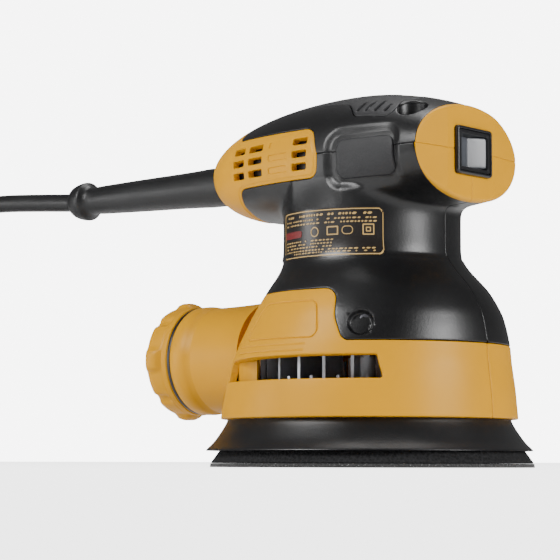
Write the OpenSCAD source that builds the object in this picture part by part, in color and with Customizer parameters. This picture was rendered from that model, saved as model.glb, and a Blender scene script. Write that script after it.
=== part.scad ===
// Palm-grip random orbital sander.
// Origin: centre of the sanding face, on the motor's axis. +X is the switch end,
// -X is the cord and dust-port end, and +Z points up from the sanding face.

/* [Pad] */
// Diameter of the sanding pad
pad_d = 125; // [110:1:150]
// Thickness of the hook layer
hook_t = 1.5; // [1:0.1:2.5]
// Thickness of the foam cushion
foam_t = 6.5; // [5:0.5:7]
// Thickness of the rigid backing plate
plate_t = 3; // [2:0.5:3.5]
// Distance between the pad's axis and the motor's axis
orbit_r = 1.3; // [0.8:0.1:2]
// Pitch circle diameter of the dust holes
dust_pcd = 65; // [60:1:80]
// Diameter of a dust hole
dust_hole_d = 10; // [6:0.5:11]
// Number of dust holes
dust_holes = 8; // [6:1:8]
// Diameter of the pad spindle
spindle_d = 12; // [9:0.5:14]

/* [Shroud] */
// Radius of the shroud at its lower edge
shroud_r = 57.6; // [54:0.5:72]
// Radius of the shroud at its upper edge, less than at the lower edge by this draft
shroud_draft = 3.4; // [2:0.1:5]
// Height of the shroud's lower edge
shroud_z = 18.4; // [18:0.1:20]
// Height of the shroud's side wall
shroud_h = 27.9; // [24:0.5:32]
// Height of the raised rear part above the side wall
tower_h = 19.9; // [16:0.5:24]
// How far forward the raised rear part reaches
tower_front = 19; // [10:1:25]
// Wall thickness of the housing and the shroud
wall = 3; // [2.4:0.1:3.6]
// Height of the exhaust window
window_h = 8; // [6:0.5:9]
// Height of the window's lower edge above the shroud's lower edge
window_rise = 14.1; // [12:0.5:16]

/* [Dust port] */
// Outer radius of the dust port
port_r = 22.4; // [20:0.1:27]
// Radius of the port's bore
port_bore_r = 18.5; // [16:0.1:19]
// How far behind the motor's axis the port ends
port_end = 97.5; // [92:0.5:110]
// Height of the port's axis above the shroud's lower edge
port_rise = 25; // [24:0.5:30]
// Length of the turning collar
collar_len = 8.8; // [7:0.2:11]

/* [Housing] */
// Radius of the neck that the hand's fingers go round
neck_r = 34.5; // [32:0.5:40]
// Distance of the neck's axis in front of the motor's axis
neck_shift = 1.6; // [0:0.1:3]
// Height of the head's mid-plane
head_z = 118; // [116:0.5:124]
// Width of the head
head_w = 68; // [64:1:80]
// How far the head reaches behind the motor's axis
head_rear = 76; // [66:1:90]
// How far the head reaches in front of the motor's axis
head_front = 46.4; // [44:0.5:56]
// Height of the head above its mid-plane
head_up = 26.2; // [24:0.2:31]
// Height of the head below its mid-plane
head_down = 22; // [21:0.2:24]
// Half-height of the head's front opening
nose_h = 18.4; // [16:0.2:19]
// Thickness of the soft palm grip
grip_t = 1.4; // [1:0.1:1.6]
// Depth of the side grips' pockets
pocket_t = 1.2; // [0.8:0.1:1.5]

/* [Switch] */
// Width of the switch's bezel
switch_w = 23; // [20:0.5:26]
// Height of the switch's bezel
switch_h = 18.2; // [16:0.2:20]
// Angle that the rocker turns through
rocker_throw = 20; // [14:1:24]

/* [Motor] */
// Diameter of the motor shaft
shaft_d = 8; // [6.5:0.1:9.6]
// Outer diameter of the stator
stator_d = 58; // [52:1:61]
// Diameter of the armature core
core_d = 31.6; // [28:0.2:34]
// Air gap between the core and the stator
air_gap = 0.5; // [0.4:0.1:1]
// Length of the core
core_len = 28; // [24:1:30]
// Diameter of the commutator
comm_d = 22; // [19:0.5:25]
// Outer diameter of the lower bearing
low_brg_d = 22; // [20:0.5:26]
// Width of the lower bearing
low_brg_w = 7; // [6:0.5:8]
// Outer diameter of the upper bearing
up_brg_d = 19; // [17:0.5:23]
// Width of the upper bearing
up_brg_w = 6; // [5:0.5:7]
// Radius of the fan
fan_r = 42.4; // [38:0.2:44]
// Number of fan blades
fan_blades = 24; // [18:1:28]
// Outer diameter of the pad bearing
pad_brg_d = 28; // [26:0.5:33.6]
// Width of the pad bearing
pad_brg_w = 8; // [7:0.5:8.5]

/* [Cord] */
// Diameter of the cord
cord_d = 7.8; // [6:0.1:9]
// Mean diameter of the coiled turns
coil_d = 84; // [78:1:94]
// Turns of the coil that lie side by side
coil_columns = 3; // [2:1:4]
// Layers of turns
coil_layers = 3; // [2:1:4]
// Thickness of the tie round the coil
tie_t = 1.2; // [0.8:0.1:2]

/* [Clearances] */
// Gap along a joint line between two fixed covers
seam = 0.1; // [0.05:0.05:0.2]
// Gap between parts that turn against each other
run_gap = 0.4; // [0.3:0.05:0.6]

/* [Hidden] */

yellow = [0.99, 0.70, 0.07];
black = [0.09, 0.09, 0.10];
dark = [0.16, 0.16, 0.17];
steel = [0.72, 0.73, 0.75];
copper = [0.72, 0.40, 0.20];

$fn = 96;
far = 300;            // longer than any cut needs
touch = 0.01;         // keeps a cut clear of the face that it passes
gap_fixed = 0.06;     // between two thin fixed layers that lie on each other

// ---- heights, from the sanding face upwards ----
foam_z = hook_t;
plate_z = foam_z + foam_t;
flange_z = plate_z + plate_t;
flange_t = 2;
pad_brg_z = flange_z + flange_t + 0.6;
cup_roof_z = pad_brg_z + pad_brg_w;
cup_roof_t = 3;
ecc_hub_z = cup_roof_z + cup_roof_t;
ecc_hub_h = 3.4;
fan_z = ecc_hub_z + ecc_hub_h + seam;
fan_disc_t = 1.6;
shroud_top = shroud_z + shroud_h;
tower_top = shroud_top + tower_h;
window_z = shroud_z + window_rise;
port_z = shroud_z + port_rise;
fan_h = window_z + window_h + 1.6 - fan_z;
neck_z = tower_top + 12.8;
core_z = neck_z - 7;
plate_top_z = shroud_top + 11;
bearing_plate_t = 3;
low_brg_z = plate_top_z + 0.2;
comm_len = 12;
comm_z = core_z + core_len + 9;
up_brg_z = head_z + 6;
shaft_end_z = up_brg_z + up_brg_w + 1.5;
shaft_start_z = cup_roof_z + 0.4;
joint_z = head_z + 0.5;

// ---- radii ----
shroud_top_r = shroud_r - shroud_draft;
dome_shift = neck_shift + 1;
dome_r = shroud_top_r - dome_shift - 0.1;
core_r = core_d / 2;
stator_r = stator_d / 2;
bore_r = core_r + air_gap;
comm_r = comm_d / 2;
spindle_r = spindle_d / 2;
pad_r = pad_d / 2;

function shroud_at(z) = shroud_r - shroud_draft * (z - shroud_z) / shroud_h;
function dome_at(t) = neck_r + (dome_r - neck_r) * pow(1 - t * t, 1.25);

// ---- the head: a half-width, an upper and a lower height at each station x ----
head_mid = 20;
crown_x = 3;
keel_x = -20;
nose_draw = 0.7;
function sq(v) = v * v;
function head_a(x) = x < head_mid
    ? head_w / 2 * sqrt(max(0, 1 - sq((head_mid - x) / (head_mid + head_rear))))
    : head_w / 2 - nose_draw * sq((x - head_mid) / (head_front - head_mid));
function head_u(x) = x < crown_x
    ? head_up * sqrt(max(0, 1 - sq((crown_x - x) / (crown_x + head_rear))))
    : head_up - (head_up - nose_h) * sq((x - crown_x) / (head_front - crown_x));
function head_d(x) = x < keel_x
    ? head_down * pow(max(0, 1 - pow((keel_x - x) / (keel_x + head_rear), 2.5)), 0.45)
    : head_down - (head_down - nose_h) * sq((x - keel_x) / (head_front - keel_x));

stations = 20;
around = 36;
// station i runs from the rounded rear end, where stations crowd, to the flat front
function station(i) = -head_rear + (head_front + head_rear) * (1 - cos(90 * i / stations));
// the lower half of a section is squarer above the neck, so that its side runs into the neck
function squareness(x, t) = sin(t) >= 0 ? 2 : 2 + 1.1 * exp(-sq((x - crown_x) / 30));
function power(v, p) = sign(v) * pow(abs(v), p);
function ring_point(x, inset, k) =
    let (
        t = 360 * k / around,
        p = 2 / squareness(x, t),
        a = max(0.4, head_a(x) - inset),
        h = max(0.4, (sin(t) >= 0 ? head_u(x) : head_d(x)) - inset)
    )
    [0, a * power(cos(t), p), head_z + h * power(sin(t), p)];
// the head's outline moved inwards by inset, with the front face at x = front
module head_solid(inset, front) {
    shift = inset;
    xs = [for (i = [1 : stations]) let (x = station(i)) i == stations ? front : x];
    points = [
        for (i = [0 : stations - 1])
            for (k = [0 : around - 1])
                let (
                    x = i == stations - 1 ? head_front : xs[i],
                    p = ring_point(x, inset, k)
                )
                [i == stations - 1 ? front : xs[i] + shift * (1 - i / stations), p[1], p[2]]
    ];
    last = (stations - 1) * around;
    faces = concat(
        [[for (k = [0 : around - 1]) k]],
        [
            for (i = [0 : stations - 2])
                for (k = [0 : around - 1])
                    let (a = i * around + k, b = i * around + (k + 1) % around)
                    [a, a + around, b]
        ],
        [
            for (i = [0 : stations - 2])
                for (k = [0 : around - 1])
                    let (a = i * around + k, b = i * around + (k + 1) % around)
                    [a + around, b + around, b]
        ],
        [[for (k = [around - 1 : -1 : 0]) last + k]]
    );
    polyhedron(points, faces, convexity = 4);
}

// neck and dome, revolved; inset gives the inner surface
dome_steps = 10;
module dome_solid(inset, z_low) {
    rise = neck_z - shroud_top;
    translate([dome_shift, 0, 0])
        rotate_extrude()
            polygon(concat(
                [[0, z_low], [dome_r - inset, z_low]],
                [for (i = [1 : dome_steps])
                    [dome_at(i / dome_steps) - inset, shroud_top + rise * i / dome_steps]],
                [[0, neck_z]]
            ));
}
// the neck tapers where it runs up inside the head
neck_top_z = head_z - 20;
module neck_solid(inset, z_low) {
    translate([neck_shift, 0, 0])
        rotate_extrude($fn = 64)
            polygon([
                [0, z_low], [neck_r - inset, z_low], [neck_r - inset, neck_top_z],
                [neck_r - inset - 2.5, head_z - 6], [0, head_z - 6]
            ]);
}
module body_outer() {
    dome_solid(0, shroud_top + seam, $fn = 64);
    neck_solid(0, neck_z - 1.5);
}
module body_inner() {
    dome_solid(wall, shroud_top - 1, $fn = 64);
    neck_solid(wall, neck_z - 3);
}
// free-form walls are triangulated together; bores are cut from them afterwards
module freeform() {
    resize([0, 0, 0]) union() children();
}
// the side view of the yellow rear piece: two arms and the rear end, grown by gap
arm_low = head_z - 9;
arm_high = head_z + 12;
arm_front = -3;
tail_front = -46;
module rear_outline(gap) {
    rotate([90, 0, 0])
        translate([0, 0, -far / 2])
            linear_extrude(far)
                polygon([
                    [-far, arm_low - 40],
                    [tail_front - 5 + gap, arm_low - 40],
                    [tail_front - 5 + gap, arm_low - 10],
                    [tail_front + gap, arm_low - gap],
                    [arm_front - 4 + gap, arm_low - gap],
                    [arm_front + gap, arm_low + 4 - gap],
                    [arm_front - 2 + gap, arm_high - 6 + gap],
                    [arm_front - 8 + gap, arm_high + gap],
                    [tail_front - 4 + gap, arm_high + gap],
                    [tail_front - 4 + gap, arm_high + 40],
                    [-far, arm_high + 40]
                ]);
}
relief_r = 8.2;
relief_z = head_z - 2.8;
relief_end = 161;
relief_in = head_rear - 14;
module relief_hole() {
    translate([-head_rear - 10, 0, relief_z])
        rotate([0, 90, 0])
            cylinder(r = relief_r + seam, h = 30);
}
module tower_block(gap, z_low) {
    translate([-far + tower_front + gap, -far / 2, z_low])
        cube([far, far, tower_top + gap - z_low]);
}
module half(side, gap) {
    // keeps the half-space y * side > gap / 2
    translate([-far, side > 0 ? gap / 2 : -far - gap / 2, -touch])
        cube([2 * far, far, far]);
}
// side pockets
pocket_x = 23;
pocket_len = 33;
pocket_z = head_z - 2;
pocket_high = 23;
panel_len = 27;
panel_high = 14;
module side_prism(len, high, r) {
    translate([pocket_x, far / 2, pocket_z])
        rotate([90, 0, 0])
            linear_extrude(far)
                polygon([
                    [-len / 2 + r, -high / 2], [len / 2 - r, -high / 2],
                    [len / 2, -high / 2 + r], [len / 2, high / 2 - r],
                    [len / 2 - r, high / 2], [-len / 2 + r, high / 2],
                    [-len / 2, high / 2 - r], [-len / 2, -high / 2 + r]
                ]);
}
// palm grip, seen from above
grip_rear = -47;
grip_front = 30;
grip_half = 21;
module grip_prism(gap) {
    translate([0, 0, head_z + 5])
        linear_extrude(far / 3)
            polygon([
                [grip_rear - gap, -7], [grip_rear + 12, -15 - gap],
                [-6, -grip_half - gap], [22, -grip_half - gap],
                [grip_front + gap, -12], [grip_front + gap, 12],
                [22, grip_half + gap], [-6, grip_half + gap],
                [grip_rear + 12, 15 + gap], [grip_rear - gap, 7]
            ]);
}
// boss screws between the top cover and the lower halves
boss_x = 37;
boss_y = 22;
boss_r = 4.4;
counterbore_r = 5.7;
screw_r = 1.8;
screw_head_r = 3.6;
screw_seat_z = head_z + 10;
module boss_places() {
    for (s = [-1, 1])
        translate([boss_x, s * boss_y, 0])
            children();
}
// radial screws that hold the dome to the bearing plate
dome_screw_angle = 56;
dome_screw_z = shroud_top + 7;
module dome_screw_places() {
    for (s = [-1, 1])
        rotate([0, 0, s * dome_screw_angle])
            translate([0, 0, dome_screw_z])
                rotate([0, 90, 0])
                    children();
}
dome_seat_r = dome_r - 3.6;

module pocket_cut() {
    difference() {
        intersection() {
            side_prism(pocket_len, pocket_high, 5);
            head_solid(-2, head_front);
        }
        head_solid(pocket_t, head_front);
    }
}
module shell_wall() {
    difference() {
        union() {
            head_solid(0, head_front);
            body_outer();
        }
        head_solid(wall, head_front + 1);
        body_inner();
        translate([-far, -far, joint_z]) cube(2 * far);
        half(1, -seam);
        rear_outline(seam);
        tower_block(seam, 0);
        pocket_cut();
    }
}
module housing_half() {
    difference() {
        union() {
            freeform() shell_wall();
            intersection() {
                boss_places() translate([0, 0, head_z - 16]) cylinder(r = boss_r, h = 16);
                half(-1, 2);
            }
            intersection() {
                dome_screw_places() translate([0, 0, dome_seat_r - 3]) cylinder(r = 7, h = 5);
                half(-1, 2);
            }
        }
        relief_hole();
        boss_places() translate([0, 0, head_z - 17]) cylinder(r = screw_r, h = 40);
        dome_screw_places() translate([0, 0, dome_seat_r]) cylinder(r = 5, h = far / 4);
        dome_screw_places() cylinder(r = screw_r, h = far / 4);
    }
}
module housing_right() { color(black) housing_half(); }
module housing_left() { color(black) mirror([0, 1, 0]) housing_half(); }

module cover_wall() {
    difference() {
        head_solid(0, head_front);
        head_solid(wall, head_front + 1);
        translate([-far, -far, joint_z + seam - 2 * far]) cube(2 * far);
        rear_outline(seam);
        difference() {
            intersection() {
                grip_prism(seam);
                head_solid(-2, head_front);
            }
            head_solid(grip_t, head_front);
        }
        pocket_cut();
    }
    intersection() {
        boss_places() translate([0, 0, joint_z + seam]) cylinder(r = counterbore_r + 1.6, h = 30);
        head_solid(touch, head_front - touch);
    }
}
module top_cover() {
    color(black)
        difference() {
            freeform() cover_wall();
            relief_hole();
            boss_places() translate([0, 0, screw_seat_z]) cylinder(r = counterbore_r, h = 40);
            boss_places() cylinder(r = screw_r + 0.2, h = far);
        }
}
badge_x = 24;
badge_len = 11;
badge_w = 17;
module badge_outline(gap) {
    translate([badge_x, 0, head_z]) cube([badge_len + gap, badge_w + gap, far / 3], center = true);
}
module palm_grip() {
    color(dark)
        freeform() difference() {
            intersection() {
                head_solid(0, head_front);
                grip_prism(0);
            }
            head_solid(grip_t - gap_fixed, head_front + 1);
            rear_outline(2 * seam);
            intersection() {
                badge_outline(seam);
                difference() {
                    head_solid(-2, head_front);
                    head_solid(grip_t / 2, head_front + 1);
                }
            }
        }
}
module badge() {
    color([0.45, 0.40, 0.12])
        freeform() difference() {
            intersection() {
                head_solid(0.1, head_front);
                badge_outline(0);
                translate([0, 0, head_z + 100]) cube(200, center = true);
            }
            head_solid(grip_t / 2 - gap_fixed, head_front + 1);
        }
}
module side_grip(side) {
    color(dark)
        freeform() difference() {
            intersection() {
                head_solid(0.2, head_front);
                side_prism(panel_len, panel_high, 4);
                half(side, 10);
            }
            head_solid(pocket_t - gap_fixed, head_front + 1);
        }
}
module side_grip_right() { side_grip(-1); }
module side_grip_left() { side_grip(1); }

// ---- yellow nose cap: a slightly pointed plate with a flat band down its middle ----
nose_t = 2.4;
nose_face_x = head_front + 2.2;
nose_band = 15.6;
module nose_blank() {
    a = head_a(head_front);
    intersection() {
        hull() {
            translate([head_front + seam, 0, head_z])
                rotate([0, 90, 0]) scale([nose_h / a, 1, 1]) cylinder(r = a, h = 0.6, $fn = 64);
            translate([nose_face_x - 0.3, 0, head_z])
                rotate([0, 90, 0]) scale([nose_h / a, 1, 1]) cylinder(r = a - 2.5, h = 0.3, $fn = 64);
        }
        union() {
            translate([0, -nose_band, 0]) cube([far, 2 * nose_band, far]);
            for (s = [-1, 1])
                translate([nose_face_x, s * nose_band, 0])
                    rotate([0, 0, s * 7])
                        translate([-20, s > 0 ? -2 : -38, 0]) cube([20, 40, far]);
        }
    }
}
module nose_all() {
    difference() {
        union() {
            nose_blank();
            difference() {
                intersection() {
                    head_solid(wall + 0.15, head_front + seam + touch);
                    translate([head_front - 3, -far / 2, 0]) cube([far, far, far]);
                }
                head_solid(wall + 1.6, head_front + 1);
            }
        }
        translate([head_front, 0, head_z])
            cube([far, switch_w - 2 + seam, switch_h - 2 + seam], center = true);
        boss_places() translate([0, 0, head_z - 17]) cylinder(r = counterbore_r + 2, h = 60);
    }
}
module nose_cap_upper() {
    color(yellow)
        freeform() intersection() {
            nose_all();
            translate([0, -far / 2, joint_z + seam]) cube([far, far, far]);
        }
}
module nose_lower(side) {
    color(yellow)
        freeform() intersection() {
            nose_all();
            translate([0, -far / 2, joint_z - far]) cube([far, far, far]);
            half(side, seam);
        }
}
module nose_cap_right() { nose_lower(-1); }
module nose_cap_left() { nose_lower(1); }

// ---- yellow rear piece with the air slots ----
slot_xs = [-46.5, -34.8, -10.9];
slot_len = 8.2;
slot_h = 2.6;
slot_pitch = 5.1;
module rear_grille() {
    color(yellow)
        difference() {
            freeform() difference() {
                intersection() {
                    head_solid(0, head_front);
                    rear_outline(0);
                }
                head_solid(wall, head_front + 1);
                for (x = slot_xs)
                    for (r = [-1 : 1])
                        translate([x, 0, head_z + 1.6 + r * slot_pitch])
                            cube([slot_len, far, slot_h], center = true);
            }
            relief_hole();
        }
}
label_h = 18;
label_t = 0.4;
label_z = neck_z + gap_fixed;
label_low = 44;
label_high = 128;
module rating_label() {
    color([0.12, 0.11, 0.10])
        translate([neck_shift, 0, label_z])
            rotate([0, 0, -label_high])
                rotate_extrude(angle = label_high - label_low)
                    translate([neck_r + 2 * gap_fixed, 0]) square([label_t, label_h]);
}

// ---- shroud ----
window_from = 49;
window_to = 130;
socket_end = 76;
module window_cut(side) {
    intersection() {
        translate([0, 0, window_z]) cylinder(r = shroud_r + 5, h = window_h);
        rotate([0, 0, side * window_from - (side < 0 ? window_to - window_from : 0)])
            rotate_extrude(angle = window_to - window_from)
                translate([shroud_r - 20, 0]) square([30, far / 2]);
    }
}
module shroud_half(side) {
    difference() {
        union() {
            rotate_extrude()
                polygon([
                    [0, shroud_z], [shroud_r, shroud_z],
                    [shroud_top_r, shroud_top], [0, shroud_top]
                ]);
            intersection() {
                dome_solid(0, shroud_top - touch);
                tower_block(0, 0);
            }
            intersection() {
                translate([-socket_end, 0, port_z])
                    rotate([0, 90, 0]) cylinder(r = port_r, h = socket_end - 36);
                translate([-far, -far, 0]) cube([2 * far, 2 * far, tower_top]);
            }
        }
        rotate_extrude()
            polygon([
                [0, shroud_z - 1], [shroud_r - wall, shroud_z - 1],
                [shroud_top_r - wall, shroud_top + touch], [0, shroud_top + touch]
            ]);
        intersection() {
            dome_solid(wall, shroud_top - 1);
            translate([-far, -far, 0]) cube([2 * far, 2 * far, tower_top + 1]);
        }
        translate([-socket_end - 1, 0, port_z]) rotate([0, 90, 0])
            cylinder(r = port_bore_r + 1.2, h = 45);
        translate([-far, -far, shroud_z - far]) cube([2 * far, 2 * far, far]);
        window_cut(side);
        half(-side, -seam);
    }
}
module shroud_right() { color(yellow) shroud_half(-1); }
module shroud_left() { color(yellow) shroud_half(1); }

spigot_r = port_bore_r + 1.1;
collar_x = -port_end + collar_len;
nose_tube_r = port_bore_r + 1.5;
module dust_port() {
    color(yellow)
        translate([0, 0, port_z])
            rotate([0, -90, 0])
                rotate_extrude()
                    polygon([
                        [port_bore_r, socket_end - 12], [spigot_r, socket_end - 12],
                        [spigot_r, socket_end + seam], [port_r - 0.6, socket_end + seam],
                        [port_r, socket_end + 2], [port_r, -collar_x - 4.6],
                        [port_r - 0.8, -collar_x - 4], [port_r - 0.8, -collar_x - 3.2],
                        [port_r, -collar_x - 2.6], [port_r, -collar_x - run_gap],
                        [nose_tube_r, -collar_x - run_gap], [nose_tube_r, port_end],
                        [port_bore_r, port_end]
                    ]);
}
module dust_collar() {
    color(yellow)
        translate([0, 0, port_z])
            rotate([0, -90, 0])
                difference() {
                    union() {
                        rotate_extrude()
                            polygon([
                                [nose_tube_r + run_gap, -collar_x], [port_r, -collar_x],
                                [port_r, port_end - 1], [port_r - 1, port_end],
                                [nose_tube_r + run_gap, port_end]
                            ]);
                        for (a = [0, 90, 180, 270])
                            rotate([0, 0, a])
                                translate([port_r - 0.5, -5, -collar_x + 2])
                                    cube([2.2, 10, collar_len - 4]);
                    }
                    for (a = [45 : 90 : 315])
                        rotate([0, 0, a])
                            translate([port_r - 0.8, -1.5, port_end - 3]) cube([4, 3, 5]);
                }
}
skirt_t = 2;
module dust_skirt() {
    color(black)
        rotate_extrude()
            polygon([
                [shroud_r - wall - 4.6, shroud_z + 4], [shroud_r - wall - 0.6, shroud_z + 4],
                [shroud_r - wall - 0.2, shroud_z], [shroud_r - 2.4, shroud_z - 1.8],
                [shroud_r - 0.4, shroud_z - 5.2], [shroud_r + 2.3, shroud_z - 9.1],
                [shroud_r + 5.4, shroud_z - 12.1], [shroud_r + 3.4, shroud_z - 12.1],
                [shroud_r + 0.4, shroud_z - 9.1], [shroud_r - 2.4, shroud_z - 5.2],
                [shroud_r - 4.6, shroud_z - 1.8]
            ]);
}
module torx_screw(head_r, shank_r, head_h, shank_len) {
    difference() {
        union() {
            cylinder(r = head_r, h = head_h);
            translate([0, 0, -shank_len]) cylinder(r = shank_r, h = shank_len + touch);
        }
        translate([0, 0, head_h - 1.6]) cylinder(r = head_r * 0.5, h = 5, $fn = 6);
    }
}
module top_cover_screws() {
    color(steel)
        boss_places()
            translate([0, 0, screw_seat_z + 0.02]) torx_screw(screw_head_r, screw_r - 0.1, 2.6, 22);
}
module housing_screws() {
    color(steel)
        dome_screw_places()
            translate([0, 0, dome_seat_r + 0.02]) torx_screw(screw_head_r, screw_r - 0.1, 2.4, 7);
}

// ---- motor, fixed parts ----
module stator_core() {
    color([0.45, 0.46, 0.48])
        translate([0, 0, core_z])
            difference() {
                cylinder(r = stator_r, h = core_len);
                translate([0, 0, -1]) cylinder(r = bore_r, h = core_len + 2);
                for (s = [-1, 1])
                    translate([s * (bore_r + 3.4), 0, core_len / 2])
                        cube([7.4, 18, core_len + 2], center = true);
            }
}
end_turn_gap = 0.2;
end_turn_h = 6;
module stator_coils() {
    color(copper)
        for (s = [-1, 1])
            translate([0, 0, core_z]) {
                for (z = [-end_turn_h - end_turn_gap, core_len + end_turn_gap])
                    intersection() {
                        translate([0, 0, z])
                            difference() {
                                cylinder(r = bore_r + 6.6, h = end_turn_h);
                                translate([0, 0, -1])
                                    cylinder(r = bore_r + 0.8, h = end_turn_h + 2);
                            }
                        translate([-far / 2, s > 0 ? 0.4 : -far - 0.4, -far / 2])
                            cube([far, far, far]);
                    }
                for (t = [-1, 1])
                    translate([t * (bore_r + 3.4), s * 4.4, core_len / 2])
                        cube([5, 8, core_len + 2 * end_turn_gap + 0.4], center = true);
            }
}
low_seat_r = low_brg_d / 2;
module bearing_plate() {
    r = dome_r - wall - 8;
    color([0.55, 0.56, 0.58])
        difference() {
            union() {
                translate([0, 0, plate_top_z - bearing_plate_t])
                    cylinder(r = r, h = bearing_plate_t);
                translate([0, 0, plate_top_z - touch])
                    cylinder(r = low_seat_r + 2.5, h = low_brg_w);
            }
            translate([0, 0, low_brg_z]) cylinder(r = low_seat_r + 0.02, h = far);
            cylinder(r = shaft_d / 2 + 2.4, h = far);
            for (a = [30 : 60 : 330])
                rotate([0, 0, a])
                    translate([r - 12, 0, 0]) cylinder(r = 5.5, h = plate_top_z + 1);
            for (a = [0 : 90 : 270])
                rotate([0, 0, a])
                    translate([r - 4, 0, 0]) cylinder(r = screw_r, h = far);
        }
}
module bearing_plate_screws() {
    r = dome_r - wall - 8;
    color(steel)
        for (a = [0 : 90 : 270])
            rotate([0, 0, a])
                translate([r - 4, 0, plate_top_z + 0.02])
                    torx_screw(screw_head_r - 0.6, screw_r - 0.1, 2, 8);
}
baffle_z = fan_z + 0.1;
module fan_baffle() {
    color([0.7, 0.7, 0.7])
        difference() {
            translate([0, 0, baffle_z]) cylinder(r = shroud_at(baffle_z + 1.6) - wall - 0.05, h = 1.6);
            cylinder(r = fan_r + 1.2, h = far);
            translate([-far - 44, -far / 2, 0]) cube([far, far, far]);
        }
}
up_seat_r = up_brg_d / 2;
seat_half_y = head_w / 2 - 11.5;
module upper_bearing_seat() {
    color(dark)
        difference() {
            union() {
                translate([0, 0, up_brg_z - 1]) cylinder(r = up_seat_r + 2.6, h = up_brg_w + 4);
                translate([-7, -seat_half_y, up_brg_z + up_brg_w])
                    cube([14, 2 * seat_half_y, 3]);
            }
            translate([0, 0, up_brg_z - 2]) cylinder(r = up_seat_r + 0.02, h = up_brg_w + 2);
            translate([0, 0, up_brg_z]) cylinder(r = shaft_d / 2 + 0.8, h = up_brg_w + 2);
        }
}
// a ball bearing about the z axis, from z to z + w
groove = 0.9;
function ball_r(inner, outer) = (outer - inner) * 0.25;
module outer_race(inner, outer, w) {
    mid = (inner + outer) / 2;
    land = outer - (outer - inner) * 0.26;
    rotate_extrude()
        difference() {
            translate([land, 0]) square([outer - land, w]);
            translate([mid, w / 2]) circle(r = ball_r(inner, outer) + 0.3, $fn = 48);
        }
}
module inner_race(inner, outer, w) {
    mid = (inner + outer) / 2;
    land = inner + (outer - inner) * 0.26;
    rotate_extrude()
        difference() {
            translate([inner, 0]) square([land - inner, w]);
            translate([mid, w / 2]) circle(r = ball_r(inner, outer) + 0.02, $fn = 48);
        }
}
module race_balls(inner, outer, w, count) {
    for (i = [0 : count - 1])
        rotate([0, 0, 360 * i / count])
            translate([(inner + outer) / 2, 0, w / 2])
                sphere(r = ball_r(inner, outer), $fn = 32);
}
journal_r = shaft_d / 2 - 1;
module upper_bearing_outer() {
    color(steel) translate([0, 0, up_brg_z]) outer_race(journal_r, up_seat_r, up_brg_w);
}
module upper_bearing_inner() {
    color(steel) translate([0, 0, up_brg_z]) inner_race(journal_r, up_seat_r, up_brg_w);
}
module upper_bearing_balls() {
    color(steel) translate([0, 0, up_brg_z]) race_balls(journal_r, up_seat_r, up_brg_w, 7);
}
module lower_bearing_outer() {
    color(steel) translate([0, 0, low_brg_z]) outer_race(shaft_d / 2, low_seat_r, low_brg_w);
}
module lower_bearing_inner() {
    color(steel) translate([0, 0, low_brg_z]) inner_race(shaft_d / 2, low_seat_r, low_brg_w);
}
module lower_bearing_balls() {
    color(steel) translate([0, 0, low_brg_z]) race_balls(shaft_d / 2, low_seat_r, low_brg_w, 7);
}
brush_w = 5;
brush_h = 7;
brush_len = 9;
brush_z = comm_z + comm_len / 2;
holder_t = 1;
holder_end = head_w / 2 - 7;
module brush_places() {
    for (s = [-1, 1])
        rotate([0, 0, 90 * s])
            translate([0, 0, brush_z])
                children();
}
module brush_holders() {
    color([0.78, 0.62, 0.28])
        brush_places()
            difference() {
                translate([comm_r + 1.4, -brush_w / 2 - holder_t, -brush_h / 2 - holder_t])
                    cube([holder_end - comm_r - 1.4, brush_w + 2 * holder_t, brush_h + 2 * holder_t]);
                translate([comm_r, -brush_w / 2 - 0.1, -brush_h / 2 - 0.1])
                    cube([holder_end - comm_r - 1, brush_w + 0.2, brush_h + 0.2]);
            }
}
module brushes() {
    color([0.2, 0.2, 0.2])
        brush_places()
            translate([comm_r + run_gap, -brush_w / 2, -brush_h / 2])
                cube([brush_len, brush_w, brush_h]);
}
module brush_springs() {
    start = comm_r + run_gap + brush_len;
    color(steel)
        brush_places()
            translate([start, 0, 0])
                rotate([0, 90, 0])
                    for (i = [0 : 4])
                        translate([0, 0, 0.4 + i * (holder_end - 1 - start) / 5])
                            rotate_extrude() translate([1.5, 0]) circle(r = 0.3, $fn = 16);
}

// ---- switch ----
switch_face_x = nose_face_x;
switch_z = head_z + 0.4;
module switch_bezel() {
    color(black)
        difference() {
            translate([switch_face_x + 0.05, -switch_w / 2, switch_z - switch_h / 2])
                cube([1.8, switch_w, switch_h]);
            translate([switch_face_x - 1, -switch_w / 2 + 2, switch_z - switch_h / 2 + 2.2])
                cube([10, switch_w - 4, switch_h - 4.4]);
        }
}
module switch_body() {
    back = head_front - 18;
    color(dark)
        difference() {
            translate([back, -switch_w / 2 + 1.2, head_z - switch_h / 2 + 1.2])
                cube([switch_face_x - back, switch_w - 2.4, switch_h - 2.4]);
            translate([switch_face_x - 8, -switch_w / 2 + 2, switch_z - switch_h / 2 + 2.2])
                cube([20, switch_w - 4, switch_h - 4.4]);
        }
}
rocker_half = switch_w / 2 - 2.5;
rocker_h = switch_h - 5.2;
rocker_x = switch_face_x - 3.6;
module switch_rocker() {
    tilt = rocker_throw / 2;
    color([0.30, 0.31, 0.34])
        translate([rocker_x, 0, switch_z - rocker_h / 2]) {
            rotate([0, 0, -tilt])
                linear_extrude(rocker_h)
                    polygon([
                        [-1.2, -2.4], [2.2, -rocker_half * 0.98], [3.9, -rocker_half * 0.96],
                        [3.1, 0], [3.9, rocker_half * 0.96], [2.2, rocker_half * 0.98], [-1.2, 2.4]
                    ]);
            cylinder(r = 2.2, h = rocker_h);
        }
}

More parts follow.
